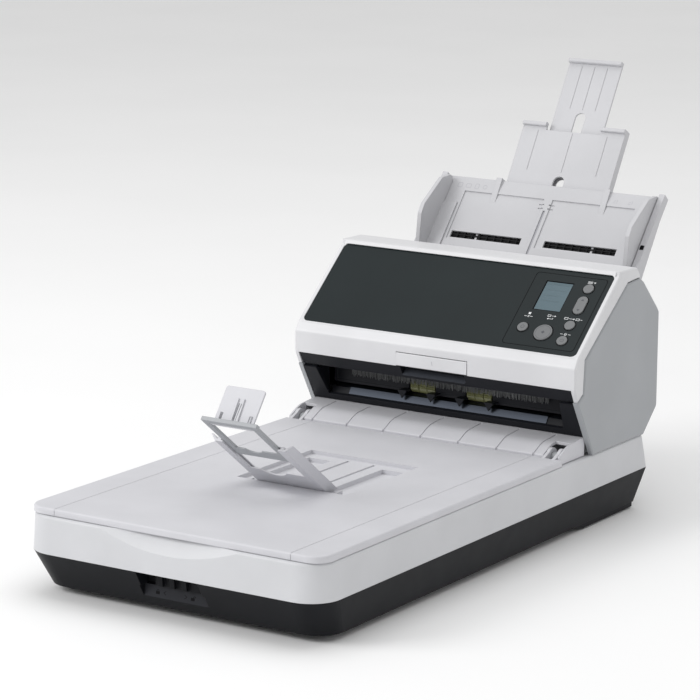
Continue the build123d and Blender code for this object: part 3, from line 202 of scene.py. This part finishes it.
LID_GREY = (0.6, 0.6, 0.63)
MATERIALS = {
    "tray_plastic": plastic(
        "tray plastic", (0.007, 0.0076, 0.0098), 0.44, 1100, 0.12, 0.12, 0.015, gloss=0.14
    ),
    "foot_rubber": plastic("foot rubber", (0.02, 0.02, 0.02), 0.8, 700, 0.2, 0.15, 0.02, gloss=0.2),
    "steel": metal("zinc plated steel", (0.55, 0.56, 0.57)),
    "shell_plastic": plastic("shell plastic", (0.6, 0.605, 0.625), 0.48, 1500, 0.06),
    "lid_plastic": plastic("lid plastic", LID_GREY, 0.5, 1500, 0.06),
    "white_plastic": plastic("white plastic", (0.69, 0.69, 0.705), 0.38, 1700, 0.035),
    "side_plastic": plastic("side plastic", (0.37, 0.383, 0.4), 0.45, 1500, 0.06),
    "dark_plastic": plastic(
        "dark plastic", (0.0095, 0.0102, 0.0135), 0.42, 1300, 0.08, 0.1, 0.015, gloss=0.16
    ),
    "panel_plastic": plastic(
        "panel plastic", (0.011, 0.0165, 0.018), 0.36, 1900, 0.03, 0.06, 0.02, 0.4 * MM, gloss=0.24
    ),
    "button_plastic": plastic("button plastic", (0.17, 0.175, 0.18), 0.42, 1500, 0.04, 0.05, 0.1, 0.9 * MM),
    "screen_glass": plastic("screen glass", (0.09, 0.14, 0.165), 0.2, 900, 0.01, 0.05, 0.02, 0.3 * MM),
    "platen_glass": glass("platen glass", (0.75, 0.82, 0.8), 0.3),
    "roller_rubber": plastic("roller rubber", (0.03, 0.03, 0.032), 0.75, 900, 0.25, 0.15, 0.02, gloss=0.3),
    "clear_rubber": plastic("soft roller rubber", (0.16, 0.165, 0.06), 0.35, 600, 0.12, 0.15, 0.1),
    "belt_rubber": plastic("belt rubber", (0.02, 0.02, 0.02), 0.7, 900, 0.2, 0.1, 0.02, gloss=0.3),
    "board_green": plastic("circuit board", (0.02, 0.1, 0.05), 0.35, 500, 0.1, 0.2, 0.03),
    "bright_metal": metal("dull sheet", (0.06, 0.068, 0.084), 0.4),
    "white_foam": plastic("white pad", (0.8, 0.8, 0.78), 0.75, 1100, 0.25, 0.02, 0.02),
    "frame_plastic": plastic(
        "frame plastic", (0.006, 0.006, 0.007), 0.55, 1200, 0.12, 0.12, 0.012, gloss=0.2
    ),
    "brush_fibre": plastic("brush fibre", (0.16, 0.165, 0.165), 0.35, 2500, 0.2, 0.45, 0.05),
    "chute_plastic": plastic("chute plastic", (0.56, 0.56, 0.58), 0.48, 1500, 0.06),
}
INK = plastic("printed white", (0.74, 0.75, 0.76), 0.5, 2500, 0.03, 0.04, 0.0, 0.02 * MM)
# near black for print, dark windows and surrounds, and painted shade in the operator panel's groove and round
# its buttons
PRINT_AND_SHADE_INK = plastic("black print and painted shade", (0.004, 0.004, 0.005), 0.6, 2500, 0.03, 0.1, 0.0, 0.02 * MM, gloss=0.1)
GROOVE = plastic("shadow line", (0.1, 0.105, 0.115), 0.6, 2000, 0.05, 0.1, 0.0, 0.02 * MM, gloss=0.2)
SLOT_GREY = plastic("slot shade", (0.24, 0.245, 0.26), 0.6, 2000, 0.05, 0.1, 0.0, 0.02 * MM, gloss=0.2)
# grey for moulded signs, and painted shade in the chute's middle groove
SIGN_AND_SHADE_GREY = plastic("moulded sign and painted shade", (0.42, 0.42, 0.45), 0.5, 2000, 0.05, 0.05, 0.0, 0.02 * MM)
# painted highlight: lighter than the tray plastic, for light falling on the sloping sill
LIT_SILL_GREY = plastic("painted sill highlight", (0.02, 0.021, 0.026), 0.5, 1300, 0.08, 0.1, 0.01, 0.1 * MM, gloss=0.2)
# painted shade with a bluish cast, for the finger recess under the tab
RECESS_SHADE_BLUE = plastic("recess", (0.055, 0.06, 0.072), 0.4, 1300, 0.08, 0.1, 0.01, 0.1 * MM, gloss=0.3)
SCREEN_INK = plastic("screen ink", (0.075, 0.12, 0.142), 0.3, 2500, 0.02, 0.05, 0.0, 0.02 * MM)

slot_of = {s["node"]: s["material_slot"] for s in frame["record"]["subparts"]}
for node, obj in frame["nodes"].items():
    obj.data.materials.clear()
    obj.data.materials.append(MATERIALS[slot_of[node]])


# ---------------------------------------------------------------- mesh helpers
def piece(name, mesh_maker, material, body):
    """Build a mesh with bmesh, give it a material and let it ride on a CAD body."""
    mesh = bpy.data.meshes.new(name)
    made = bmesh.new()
    mesh_maker(made)
    bmesh.ops.recalc_face_normals(made, faces=made.faces)
    made.to_mesh(mesh)
    made.free()
    obj = bpy.data.objects.new(name, mesh)
    bpy.context.collection.objects.link(obj)
    mesh.materials.append(material)
    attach(obj, body)
    return obj


def prism(made, points, frame_matrix, low, high):
    """Closed prism from an outline in a frame's own XY plane, between two heights above it."""
    rings = [[made.verts.new(frame_matrix @ Vector((x, y, h))) for x, y in points] for h in (low, high)]
    made.faces.new(rings[0][::-1])
    made.faces.new(rings[1])
    count = len(points)
    for i in range(count):
        j = (i + 1) % count
        made.faces.new((rings[0][i], rings[0][j], rings[1][j], rings[1][i]))


def ring_band(made, centre, inner, outer, frame_matrix, low, high, start=0.0, sweep=2 * math.pi, steps=40):
    """Closed ring, or an open stretch of one, as a flat band."""
    closed = abs(sweep - 2 * math.pi) < 1e-6
    stops = steps if closed else steps + 1
    loops = []
    for radius, height in ((inner, low), (outer, low), (outer, high), (inner, high)):
        loop = []
        for i in range(stops):
            a = start + sweep * i / steps
            at = Vector((centre[0] + radius * math.cos(a), centre[1] + radius * math.sin(a), height))
            loop.append(made.verts.new(frame_matrix @ at))
        loops.append(loop)
    for k in range(4):
        one, two = loops[k], loops[(k + 1) % 4]
        for i in range(stops if closed else stops - 1):
            j = (i + 1) % stops
            made.faces.new((one[i], one[j], two[j], two[i]))
    if not closed:
        made.faces.new([loop[0] for loop in loops])
        made.faces.new([loop[-1] for loop in loops][::-1])


def bar(x, y):
    """Outline of an upright rectangle."""
    return [(x[0], y[0]), (x[1], y[0]), (x[1], y[1]), (x[0], y[1])]


def stroke(a, b, width):
    """Outline of a straight stroke between two points."""
    along = (Vector(b) - Vector(a)).normalized() * (width / 2)
    side = Vector((-along.y, along.x))
    a, b = Vector(a), Vector(b)
    return [tuple(a - side), tuple(b - side), tuple(b + side), tuple(a + side)]


def tube(made, centre, radius, x_low, x_high, steps=24, lobes=0, lobe=0.0):
    """Solid of revolution about X between two limits, with optional lobes round it and rounded ends."""
    rim = 0.4 * MM
    profile = [(x_low, radius - rim), (x_low + rim, radius), (x_high - rim, radius), (x_high, radius - rim)]
    loops = []
    for x, r in profile:
        loop = []
        for i in range(steps):
            a = 2 * math.pi * i / steps
            grown = r - lobe * (0.5 + 0.5 * math.cos(lobes * a)) if lobes else r
            loop.append(made.verts.new((x, centre.y + grown * math.cos(a), centre.z + grown * math.sin(a))))
        loops.append(loop)
    made.faces.new(loops[0][::-1])
    made.faces.new(loops[-1])
    for one, two in zip(loops, loops[1:]):
        for i in range(steps):
            j = (i + 1) % steps
            made.faces.new((one[i], one[j], two[j], two[i]))


# ---------------------------------------------------------------- signs on the operator panel
PRINT = (0.01 * MM, 0.05 * MM)
LINE = 0.45 * MM
BUTTON_TOP = 1.1 * MM


def button_spot(node):
    """Middle of a button on the panel, in the panel's own coordinates, and half its size across."""
    low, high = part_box(node)
    local = PANEL.inverted() @ ((low + high) / 2)
    return local.x, local.y, (high.x - low.x) / 2


def rounded(x, y, radius, steps=6):
    """Outline of a rectangle with round corners between limits."""
    points = []
    corners = ((x[1], y[0], -90), (x[1], y[1], 0), (x[0], y[1], 90), (x[0], y[0], 180))
    for cx, cy, start in corners:
        mid_x = cx - radius if cx == x[1] else cx + radius
        mid_y = cy - radius if cy == y[1] else cy + radius
        for k in range(steps + 1):
            a = math.radians(start + 90 * k / steps)
            points.append((mid_x + radius * math.cos(a), mid_y + radius * math.sin(a)))
    return points


def frame_band(made, x, y, radius, width, frame_matrix, low, high):
    """Closed band of one width running inside a rounded rectangle."""
    outer = rounded(x, y, radius)
    inner_radius = max(radius - width, 0.02 * MM)
    inner = rounded((x[0] + width, x[1] - width), (y[0] + width, y[1] - width), inner_radius)
    count = len(outer)
    loops = []
    for points, height in ((inner, low), (outer, low), (outer, high), (inner, high)):
        loops.append([made.verts.new(frame_matrix @ Vector((px, py, height))) for px, py in points])
    for k in range(4):
        one, two = loops[k], loops[(k + 1) % 4]
        for i in range(count):
            j = (i + 1) % count
            made.faces.new((one[i], one[j], two[j], two[i]))


def panel_piece(
    name, outlines, rings=(), body="cover", height=0.0, material=INK, bands=()
):
    """Flat sign made of outlines, rings and bands, in the panel's coordinates."""
    span = (PRINT[0] + height, PRINT[1] + height)

    def make(made):
        for points in outlines:
            prism(made, points, PANEL, *span)
        for centre, inner, outer, start, sweep in rings:
            ring_band(made, centre, inner, outer, PANEL, *span, start, sweep)
        for x, y, radius, width in bands:
            frame_band(made, x, y, radius, width, PANEL, *span)

    return piece(name, make, material, body)


def box_sign(x, y, half_x, half_y):
    """Four strokes round a small page."""
    return [
        bar((x - half_x, x + half_x), (y - half_y, y - half_y + LINE)),
        bar((x - half_x, x + half_x), (y + half_y - LINE, y + half_y)),
        bar((x - half_x, x - half_x + LINE), (y - half_y + LINE, y + half_y - LINE)),
        bar((x + half_x - LINE, x + half_x), (y - half_y + LINE, y + half_y - LINE)),
    ]


def arrow_sign(x, y, length, way=1):
    """Stroke across with a solid head."""
    tip = x + way * length / 2
    neck = tip - way * 1.5 * MM
    shaft = sorted((x - way * length / 2, neck))
    head = [(neck, y - 1.0 * MM), (tip, y), (neck, y + 1.0 * MM)]
    return [bar(shaft, (y - LINE / 2, y + LINE / 2)), head]


def block_sign(x, y, half):
    return [bar((x - half, x + half), (y - half, y + half))]


def dash(x_low, x_high, y):
    """Thin stroke across, centred on a height."""
    return bar((x_low, x_high), (y - LINE / 2, y + LINE / 2))


FULL = 2 * math.pi
ROW = 1.75 * MM  # from a double sign's middle to either of its rows
SIGN_RISE = 7.8 * MM  # from a small button's middle to its sign
PAGE = (1.9 * MM, 1.25 * MM)  # half size of the page in a sign
x, y, half = button_spot("menu_button")
y += SIGN_RISE
bars = [dash(x - 4 * MM, x + 1 * MM, y + k * MM) for k in (-1, 0, 1)]
wedge = [(x + 2 * MM, y + 0.8 * MM), (x + 3.1 * MM, y - 0.9 * MM), (x + 4.2 * MM, y + 0.8 * MM)]
panel_piece("menu_sign", bars + [wedge])
x, y, half = button_spot("manual_feed_button")
y += SIGN_RISE
marks = box_sign(x - 7 * MM, y, *PAGE) + arrow_sign(x - 1.2 * MM, y, 6 * MM)
marks += box_sign(x + 4.6 * MM, y, *PAGE) + [dash(x + 7.6 * MM, x + 9.4 * MM, y)]
panel_piece("feed_sign", marks)
x, y, half = button_spot("power_button")
y += 7.9 * MM
POWER_RING = (math.radians(125), math.radians(290))  # start and sweep of the open ring in a power mark
sides = [dash(x + at * MM - 1.3 * MM, x + at * MM + 1.3 * MM, y) for at in (-4, 4)]
panel_piece(
    "power_sign",
    [bar((x - 0.22 * MM, x + 0.22 * MM), (y - 0.1 * MM, y + 1.5 * MM))] + sides,
    [((x, y), 0.95 * MM, 0.95 * MM + LINE, *POWER_RING)],
)
x, y, half = button_spot("stop_button")
y += 15 * MM  # above the words' place over the stop button
cross = [stroke((x - 1 * MM, y - ROW - 1 * MM), (x + 1 * MM, y - ROW + 1 * MM), LINE)]
arms = [stroke((x - 1 * MM, y - ROW + 1 * MM), (x - 0.2 * MM, y - ROW + 0.2 * MM), LINE)]
arms.append(stroke((x + 0.2 * MM, y - ROW - 0.2 * MM), (x + 1 * MM, y - ROW - 1 * MM), LINE))
sides = [dash(x + at * MM - 1.3 * MM, x + at * MM + 1.3 * MM, y - ROW) for at in (-3, 3)]
panel_piece("stop_sign", block_sign(x, y + ROW, 1.2 * MM) + cross + arms + sides)
x, y, half = button_spot("scan_button")
y += 18.4 * MM
marks = box_sign(x - 2.4 * MM, y + ROW, 1.6 * MM, 1.25 * MM) + arrow_sign(x + 2.4 * MM, y + ROW, 4.4 * MM)
marks += arrow_sign(x - 0.6 * MM, y - ROW, 6 * MM, -1)
marks.append(bar((x + 2.4 * MM - LINE, x + 2.4 * MM), (y - ROW + LINE / 2, y - ROW + 1.4 * MM)))
panel_piece("scan_sign", marks)

# painted shade: a black band in the groove round the operator panel and dark rings in the gaps round its
# buttons
panel_piece(
    "operator_groove_shade",
    [],
    height=-0.3 * MM,
    material=PRINT_AND_SHADE_INK,
    bands=[((66.85 * MM, 140.65 * MM), (5.6 * MM, 91.8 * MM), 3.6 * MM, 0.6 * MM)],
)
gap_shadows = []
for node in ("menu_button", "stop_button", "scan_button", "manual_feed_button", "power_button"):
    x, y, half = button_spot(node)
    gap_shadows.append(((x, y), half + 0.3 * MM, half + 1.0 * MM, 0, FULL))
x, y, half = button_spot("rocker_button")
well_x, well_y = half + 1.0 * MM, half + 6.3 * MM
panel_piece(
    "button_gap_shadows",
    [],
    gap_shadows,
    material=PRINT_AND_SHADE_INK,
    bands=[((x - well_x, x + well_x), (y - well_y, y + well_y), well_x, 0.7 * MM)],
)

# marks pressed into the buttons' tops, which ride on the buttons
x, y, half = button_spot("stop_button")
rings = [((x, y), 1.5 * MM, 1.9 * MM, 0, FULL)]
panel_piece("stop_mark", [], rings, "stop", BUTTON_TOP, GROOVE)
x, y, half = button_spot("power_button")
rings = [((x, y), 1.5 * MM, 1.9 * MM, *POWER_RING)]
upright = [bar((x - 0.2 * MM, x + 0.2 * MM), (y, y + 2 * MM))]
panel_piece("power_mark", upright, rings, "power", BUTTON_TOP, GROOVE)
x, y, half = button_spot("scan_button")
rings = [((x, y), 7.3 * MM, 7.55 * MM, 0, FULL)]
start = [[(x - 1.8 * MM, y), (x, y - 1.8 * MM), (x + 1.8 * MM, y), (x, y + 1.8 * MM)]]
panel_piece("scan_mark", start, rings, "scan", BUTTON_TOP, GROOVE)
x, y, half = button_spot("rocker_button")
arrows = []
for side in (-1, 1):
    tip = y + side * 7.2 * MM
    foot = tip - side * 2.2 * MM
    arrows.append([(x, tip), (x - side * 1.6 * MM, foot), (x + side * 1.6 * MM, foot)])
panel_piece("rocker_marks", arrows, (), "rocker", BUTTON_TOP, GROOVE)

# screen: dark surround, and a title bar and rows as faint as a resting display
low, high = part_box("lcd_screen")
middle = PANEL.inverted() @ ((low + high) / 2)
half_x, half_y = 14.2 * MM, 17.4 * MM
SCREEN_TOP = -0.5 * MM
across = (middle.x - half_x, middle.x + half_x)
along = (middle.y - half_y, middle.y + half_y)
panel_piece(
    "screen_surround",
    [],
    height=SCREEN_TOP,
    material=PRINT_AND_SHADE_INK,
    bands=[(across, along, 0.5 * MM, 0.9 * MM)],
)
rows = [bar((middle.x - 12.6 * MM, middle.x + 12.6 * MM), (middle.y + 13.4 * MM, middle.y + 15.6 * MM))]
for k, length in enumerate((20, 14, 17)):
    base = middle.y + (7 - 6.5 * k) * MM
    rows.append(bar((middle.x - 10 * MM, middle.x + (length - 10) * MM), (base, base + 0.8 * MM)))
panel_piece("screen_rows", rows, (), "cover", SCREEN_TOP, SCREEN_INK)

# ---------------------------------------------------------------- soft exit rollers and brush
pinch_low, pinch_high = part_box("pinch_roller")
pinch_axis = (pinch_low + pinch_high) / 2
TYRE = 7.0 * MM
TYRE_PITCH = 9 * MM
TYRE_WIDTH = 8.6 * MM
RIBS = 24


def pinch(made):
    """Shaft with three soft ribbed tyres on each side of the middle."""
    tube(made, pinch_axis, 2.5 * MM, pinch_low.x, pinch_high.x, 24)
    for side in (-1, 1):
        for k in range(3):
            start = side * (17 * MM + TYRE_PITCH * k)
            x_low, x_high = sorted((start, start + side * TYRE_WIDTH))
            tube(made, pinch_axis, TYRE, x_low, x_high, 4 * RIBS, RIBS, 0.7 * MM)


rollers = piece("ribbed_pinch_rollers", pinch, MATERIALS["clear_rubber"], "pinch")
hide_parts("pinch_roller")

brush_low, brush_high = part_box("exit_brush")
random.seed(7)


def brush(made):
    """Black holder with rows of short glossy fibres of uneven length and lean."""
    strip = bar((brush_low.x, brush_high.x), (brush_low.y + 1.4 * MM, brush_high.y))
    prism(made, strip, Matrix.Identity(4), brush_high.z - 2 * MM, brush_high.z)
    step = 1.5 * MM
    count = int((brush_high.x - brush_low.x) / step)
    for row in range(3):
        for i in range(count):
            x = brush_low.x + (i + 0.5 + 0.35 * random.uniform(-1, 1)) * step
            y = brush_low.y + (0.7 + 1.1 * row) * MM
            lean = random.uniform(-0.7, 0.7) * MM
            foot_z = brush_low.z + random.uniform(0.1, 2.6) * MM
            top_z = brush_high.z - random.uniform(0.2, 2.4) * MM
            rings = []
            for at, drift, half in ((top_z, 0, 0.26 * MM), (foot_z, lean, 0.14 * MM)):
                corners = ((-half, -half), (half, -half), (half, half), (-half, half))
                rings.append([made.verts.new((x + drift + p, y + q, at)) for p, q in corners])
            made.faces.new(rings[0])
            made.faces.new(rings[1][::-1])
            for k in range(4):
                j = (k + 1) % 4
                made.faces.new((rings[0][k], rings[0][j], rings[1][j], rings[1][k]))


fibres = piece("exit_brush_fibres", brush, MATERIALS["brush_fibre"], "cover")
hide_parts("exit_brush")

# ---------------------------------------------------------------- padlock signs on the sill under the lock
SILL_ANGLE = math.atan2(10.5, 1.7)
SILL_FOOT = Vector((0, FRONT_EDGE + 15.1 * MM, 17.7 * MM))
SILL = placed(Matrix.Rotation(SILL_ANGLE, 4, "X"), SILL_FOOT)


SILL_PRINT = (0.045 * MM, 0.085 * MM)


# painted highlight: a lighter patch standing for light on the sill's sloping face
def lit_sill_patch(made):
    prism(made, rounded((-32 * MM, 32 * MM), (-2.9 * MM, 7.2 * MM), 1 * MM), SILL, *PRINT)


piece("lit_sill_patch", lit_sill_patch, LIT_SILL_GREY, "base")


def padlock(made, x, shift):
    """Body and shackle of a little padlock; the shackle stands aside when it is open."""
    prism(made, bar((x - 1.9 * MM, x + 1.9 * MM), (0, 2.4 * MM)), SILL, *SILL_PRINT)
    ring_band(made, (x + shift, 2.5 * MM), 0.85 * MM, 1.35 * MM, SILL, *SILL_PRINT, 0, math.pi, 16)


def sill_signs(made):
    padlock(made, -19 * MM, 0)
    padlock(made, 16 * MM, 1.7 * MM)
    for x, way in ((-12 * MM, -1), (9 * MM, 1)):
        tip = (x + way * 1.2 * MM, 1.9 * MM)
        for end in (0.4 * MM, 3.4 * MM):
            prism(made, stroke((x - way * 1.2 * MM, end), tip, 0.5 * MM), SILL, *SILL_PRINT)


piece("sill_signs", sill_signs, PRINT_AND_SHADE_INK, "base")

# ---------------------------------------------------------------- slot liners and marks on the chute
CHUTE_UP = Vector((0, math.cos(CHUTE_ANGLE), math.sin(CHUTE_ANGLE)))
CHUTE_OUT = Vector((0, -math.sin(CHUTE_ANGLE), math.cos(CHUTE_ANGLE)))
chute_foot = Vector((0, FRONT_EDGE + 593.3 * MM, 223 * MM))
CHUTE = placed(Matrix((Vector((1, 0, 0)), CHUTE_UP, CHUTE_OUT)).transposed().to_4x4(), chute_foot)
SLOT = (5.5 * MM, 13 * MM)


def liners(made):
    for side in (-1, 1):
        x = sorted((side * 11.5 * MM, side * 91.5 * MM))
        prism(made, bar(x, (SLOT[0] - 2 * MM, SLOT[1] + 2 * MM)), CHUTE, -5.4 * MM, -4.4 * MM)
        for k in range(9):
            at = side * (18 + 8.2 * k) * MM
            prism(made, bar((at - 0.6 * MM, at + 0.6 * MM), SLOT), CHUTE, -4.5 * MM, -2.4 * MM)
        prism(made, bar(x, (9.6 * MM, 11.2 * MM)), CHUTE, -4.5 * MM, -3.1 * MM)


piece("slot_liners", liners, MATERIALS["frame_plastic"], "base")


def chute_groove(made):
    """Strip lying in the long groove down the middle of the chute, its grey a painted shade in the groove."""
    prism(made, bar((-1.25 * MM, 1.25 * MM), (-45.5 * MM, 45 * MM)), CHUTE, -1.14 * MM, -1.0 * MM)


piece("chute_groove_shade", chute_groove, SIGN_AND_SHADE_GREY, "base")


def rim_window(made):
    """Dark window over the sheet sensor in the chute's right rim."""
    outline = rounded((116.9 * MM, 121.1 * MM), (11.5 * MM, 16.5 * MM), 0.5 * MM)
    prism(made, outline, CHUTE, 6.01 * MM, 6.05 * MM)


piece("rim_window", rim_window, PRINT_AND_SHADE_INK, "base")


def chute_marks(made):
    """Size arrows near the chute's top edge: outlined pages on the left, ticks on the right."""
    row = 64.6 * MM
    pages = ((2.6 * MM, 2.6 * MM), (3.0 * MM, 2.2 * MM), (2.2 * MM, 3.0 * MM))
    for k, (half_x, half_y) in enumerate(pages):
        x = (-101 + 9.5 * k) * MM
        across = (x - half_x, x + half_x)
        frame_band(made, across, (row - half_y, row + half_y), 1.1 * MM, 0.4 * MM, CHUTE, *PRINT)
    ring_band(made, (-73 * MM, row), 1.9 * MM, 2.3 * MM, CHUTE, *PRINT)
    for x in (72 * MM, 88 * MM):
        prism(made, bar((x, x + 0.4 * MM), (62.5 * MM, 66.5 * MM)), CHUTE, *PRINT)
        prism(made, bar((x - 4 * MM, x - 1 * MM), (62.5 * MM, 62.9 * MM)), CHUTE, *PRINT)
        prism(made, stroke((x - 3.4 * MM, 64 * MM), (x - 1.2 * MM, 65.4 * MM), 0.4 * MM), CHUTE, *PRINT)


piece("paper_size_marks", chute_marks, SIGN_AND_SHADE_GREY, "base")


# ---------------------------------------------------------------- finger recess under the tab
RECESS_FOOT = Vector((0, FRONT_EDGE + 419.2 * MM, 127.5 * MM))
RECESS = placed(Matrix.Rotation(math.atan2(5.5, 7.8), 4, "X"), RECESS_FOOT)


def recess_shade(made):
    """Thin shell over the sloping floor of the finger recess, dark blue-grey as painted shade in the recess.
    """
    prism(made, rounded((-33.4 * MM, 33.4 * MM), (0.5 * MM, 9 * MM), 1 * MM), RECESS, 0.01 * MM, 0.05 * MM)


piece("recess_shade", recess_shade, RECESS_SHADE_BLUE, "cover")

# ---------------------------------------------------------------- ribs and slots on the stopper's front
STOPPER_TILT = math.radians(36.4)
STOPPER_UP = Vector((0, math.sin(STOPPER_TILT), math.cos(STOPPER_TILT)))
STOPPER_OUT = Vector((0, -math.cos(STOPPER_TILT), math.sin(STOPPER_TILT)))
STOPPER_REACH = 120.3 * MM  # along the arms, from their foot on the lid to the stopper's front face
STOPPER_DROP = 2 * MM
arm_foot = Vector((0, FRONT_EDGE + 192 * MM, 76.8 * MM))
stopper_foot = arm_foot + STOPPER_OUT * STOPPER_REACH - STOPPER_UP * STOPPER_DROP
STOPPER = placed(Matrix((Vector((1, 0, 0)), STOPPER_UP, STOPPER_OUT)).transposed().to_4x4(), stopper_foot)


def stopper_ribs(made):
    """Two tapering ribs up the middle and a short one near each side."""
    for side in (-1, 1):
        outline = [(side * x * MM, y * MM) for x, y in ((1.8, 2), (4.3, 2), (3.3, 25), (2.6, 25))]
        prism(made, outline, STOPPER, 0, 1.3 * MM)
        outline = [(side * x * MM, y * MM) for x, y in ((14.9, 2), (16.3, 2), (16, 11), (15.2, 11))]
        prism(made, outline, STOPPER, 0, 1.2 * MM)


piece("stopper_ribs", stopper_ribs, MATERIALS["lid_plastic"], "stopper")


def stopper_slots(made):
    for side in (-1, 1):
        x = sorted((side * 13.2 * MM, side * 14.7 * MM))
        prism(made, rounded(x, (2.5 * MM, 11 * MM), 0.5 * MM), STOPPER, *PRINT)
        x = sorted((side * 0.6 * MM, side * 1.6 * MM))
        prism(made, rounded(x, (2 * MM, 21 * MM), 0.3 * MM), STOPPER, *PRINT)


piece("stopper_slots", stopper_slots, SLOT_GREY, "stopper")

# ---------------------------------------------------------------- release tab sign
TAB_FACE = placed(Matrix.Rotation(math.radians(90), 4, "X"), Vector((0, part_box("release_tab")[0].y, 0)))


def tab_sign(made):
    """Small upward stroke pressed into the tab's face."""
    middle = (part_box("release_tab")[0].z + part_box("release_tab")[1].z) / 2
    prism(made, stroke((1.6 * MM, middle - 2 * MM), (0.6 * MM, middle + 2 * MM), 0.35 * MM), TAB_FACE, *PRINT)


piece("tab_sign", tab_sign, SIGN_AND_SHADE_GREY, "tab")


# ---------------------------------------------------------------- floor, lights, camera
FLOOR = 6.0
floor_mesh = bpy.data.meshes.new("floor")
floor_corners = [(-FLOOR, -FLOOR, 0), (FLOOR, -FLOOR, 0), (FLOOR, FLOOR, 0), (-FLOOR, FLOOR, 0)]
floor_mesh.from_pydata(floor_corners, [], [(0, 1, 2, 3)])
floor = bpy.data.objects.new("floor", floor_mesh)
bpy.context.collection.objects.link(floor)
floor_material, tree, shader = new_material("pale floor")
floor_tone = ramp(tree, noise(tree, 3, 2), (0.94, 0.94, 0.94), (0.955, 0.955, 0.955))
tree.links.new(floor_tone, shader.inputs["Base Color"])
shader.inputs["Roughness"].default_value = 0.7
floor_mesh.materials.append(floor_material)
floor.location.z = -0.2 * MM

world = bpy.data.worlds.new("studio")
world.use_nodes = True
world.node_tree.nodes["Background"].inputs["Color"].default_value = (1, 1, 1, 1)
world.node_tree.nodes["Background"].inputs["Strength"].default_value = 0.68
bpy.context.scene.world = world
bpy.context.scene.view_settings.view_transform = "Standard"


def area_light(name, place, aim, size, power):
    data = bpy.data.lights.new(name, "AREA")
    data.shape = "RECTANGLE"
    data.size, data.size_y = size
    data.energy = power
    obj = bpy.data.objects.new(name, data)
    obj.location = place
    obj.rotation_euler = (Vector(aim) - Vector(place)).to_track_quat("-Z", "Y").to_euler()
    bpy.context.collection.objects.link(obj)


area_light("key", (-1.9, -2.3, 1.9), (0, 0, 0.1), (1.6, 1.6), 48)
area_light("top", (0.1, 0.3, 2.8), (0, 0, 0.1), (2.4, 2.4), 20)

# the camera's viewpoint: turned to the right, a little above, with a slight roll
AZIMUTH = math.radians(32.25)
ELEVATION = math.radians(11.91)
ROLL = math.radians(0.72)
DISTANCE = 2.6282
AIM = Vector((0.0506, FRONT_EDGE + 0.1956, 0.2000))
SENSOR = 36.0
FOCAL = 159.98
flat_back = Vector((math.sin(AZIMUTH), -math.cos(AZIMUTH), 0))
back = flat_back * math.cos(ELEVATION) + Vector((0, 0, math.sin(ELEVATION)))
level = Vector((math.cos(AZIMUTH), math.sin(AZIMUTH), 0))
upright = back.cross(level)
right = level * math.cos(ROLL) + upright * math.sin(ROLL)
up = upright * math.cos(ROLL) - level * math.sin(ROLL)
camera_data = bpy.data.cameras.new("camera")
camera_data.sensor_width = SENSOR
camera_data.lens = FOCAL
camera_data.clip_end = 50
camera = bpy.data.objects.new("camera", camera_data)
camera.matrix_world = placed(Matrix((right, up, back)).transposed().to_4x4(), AIM + back * DISTANCE)
bpy.context.collection.objects.link(camera)
bpy.context.scene.camera = camera
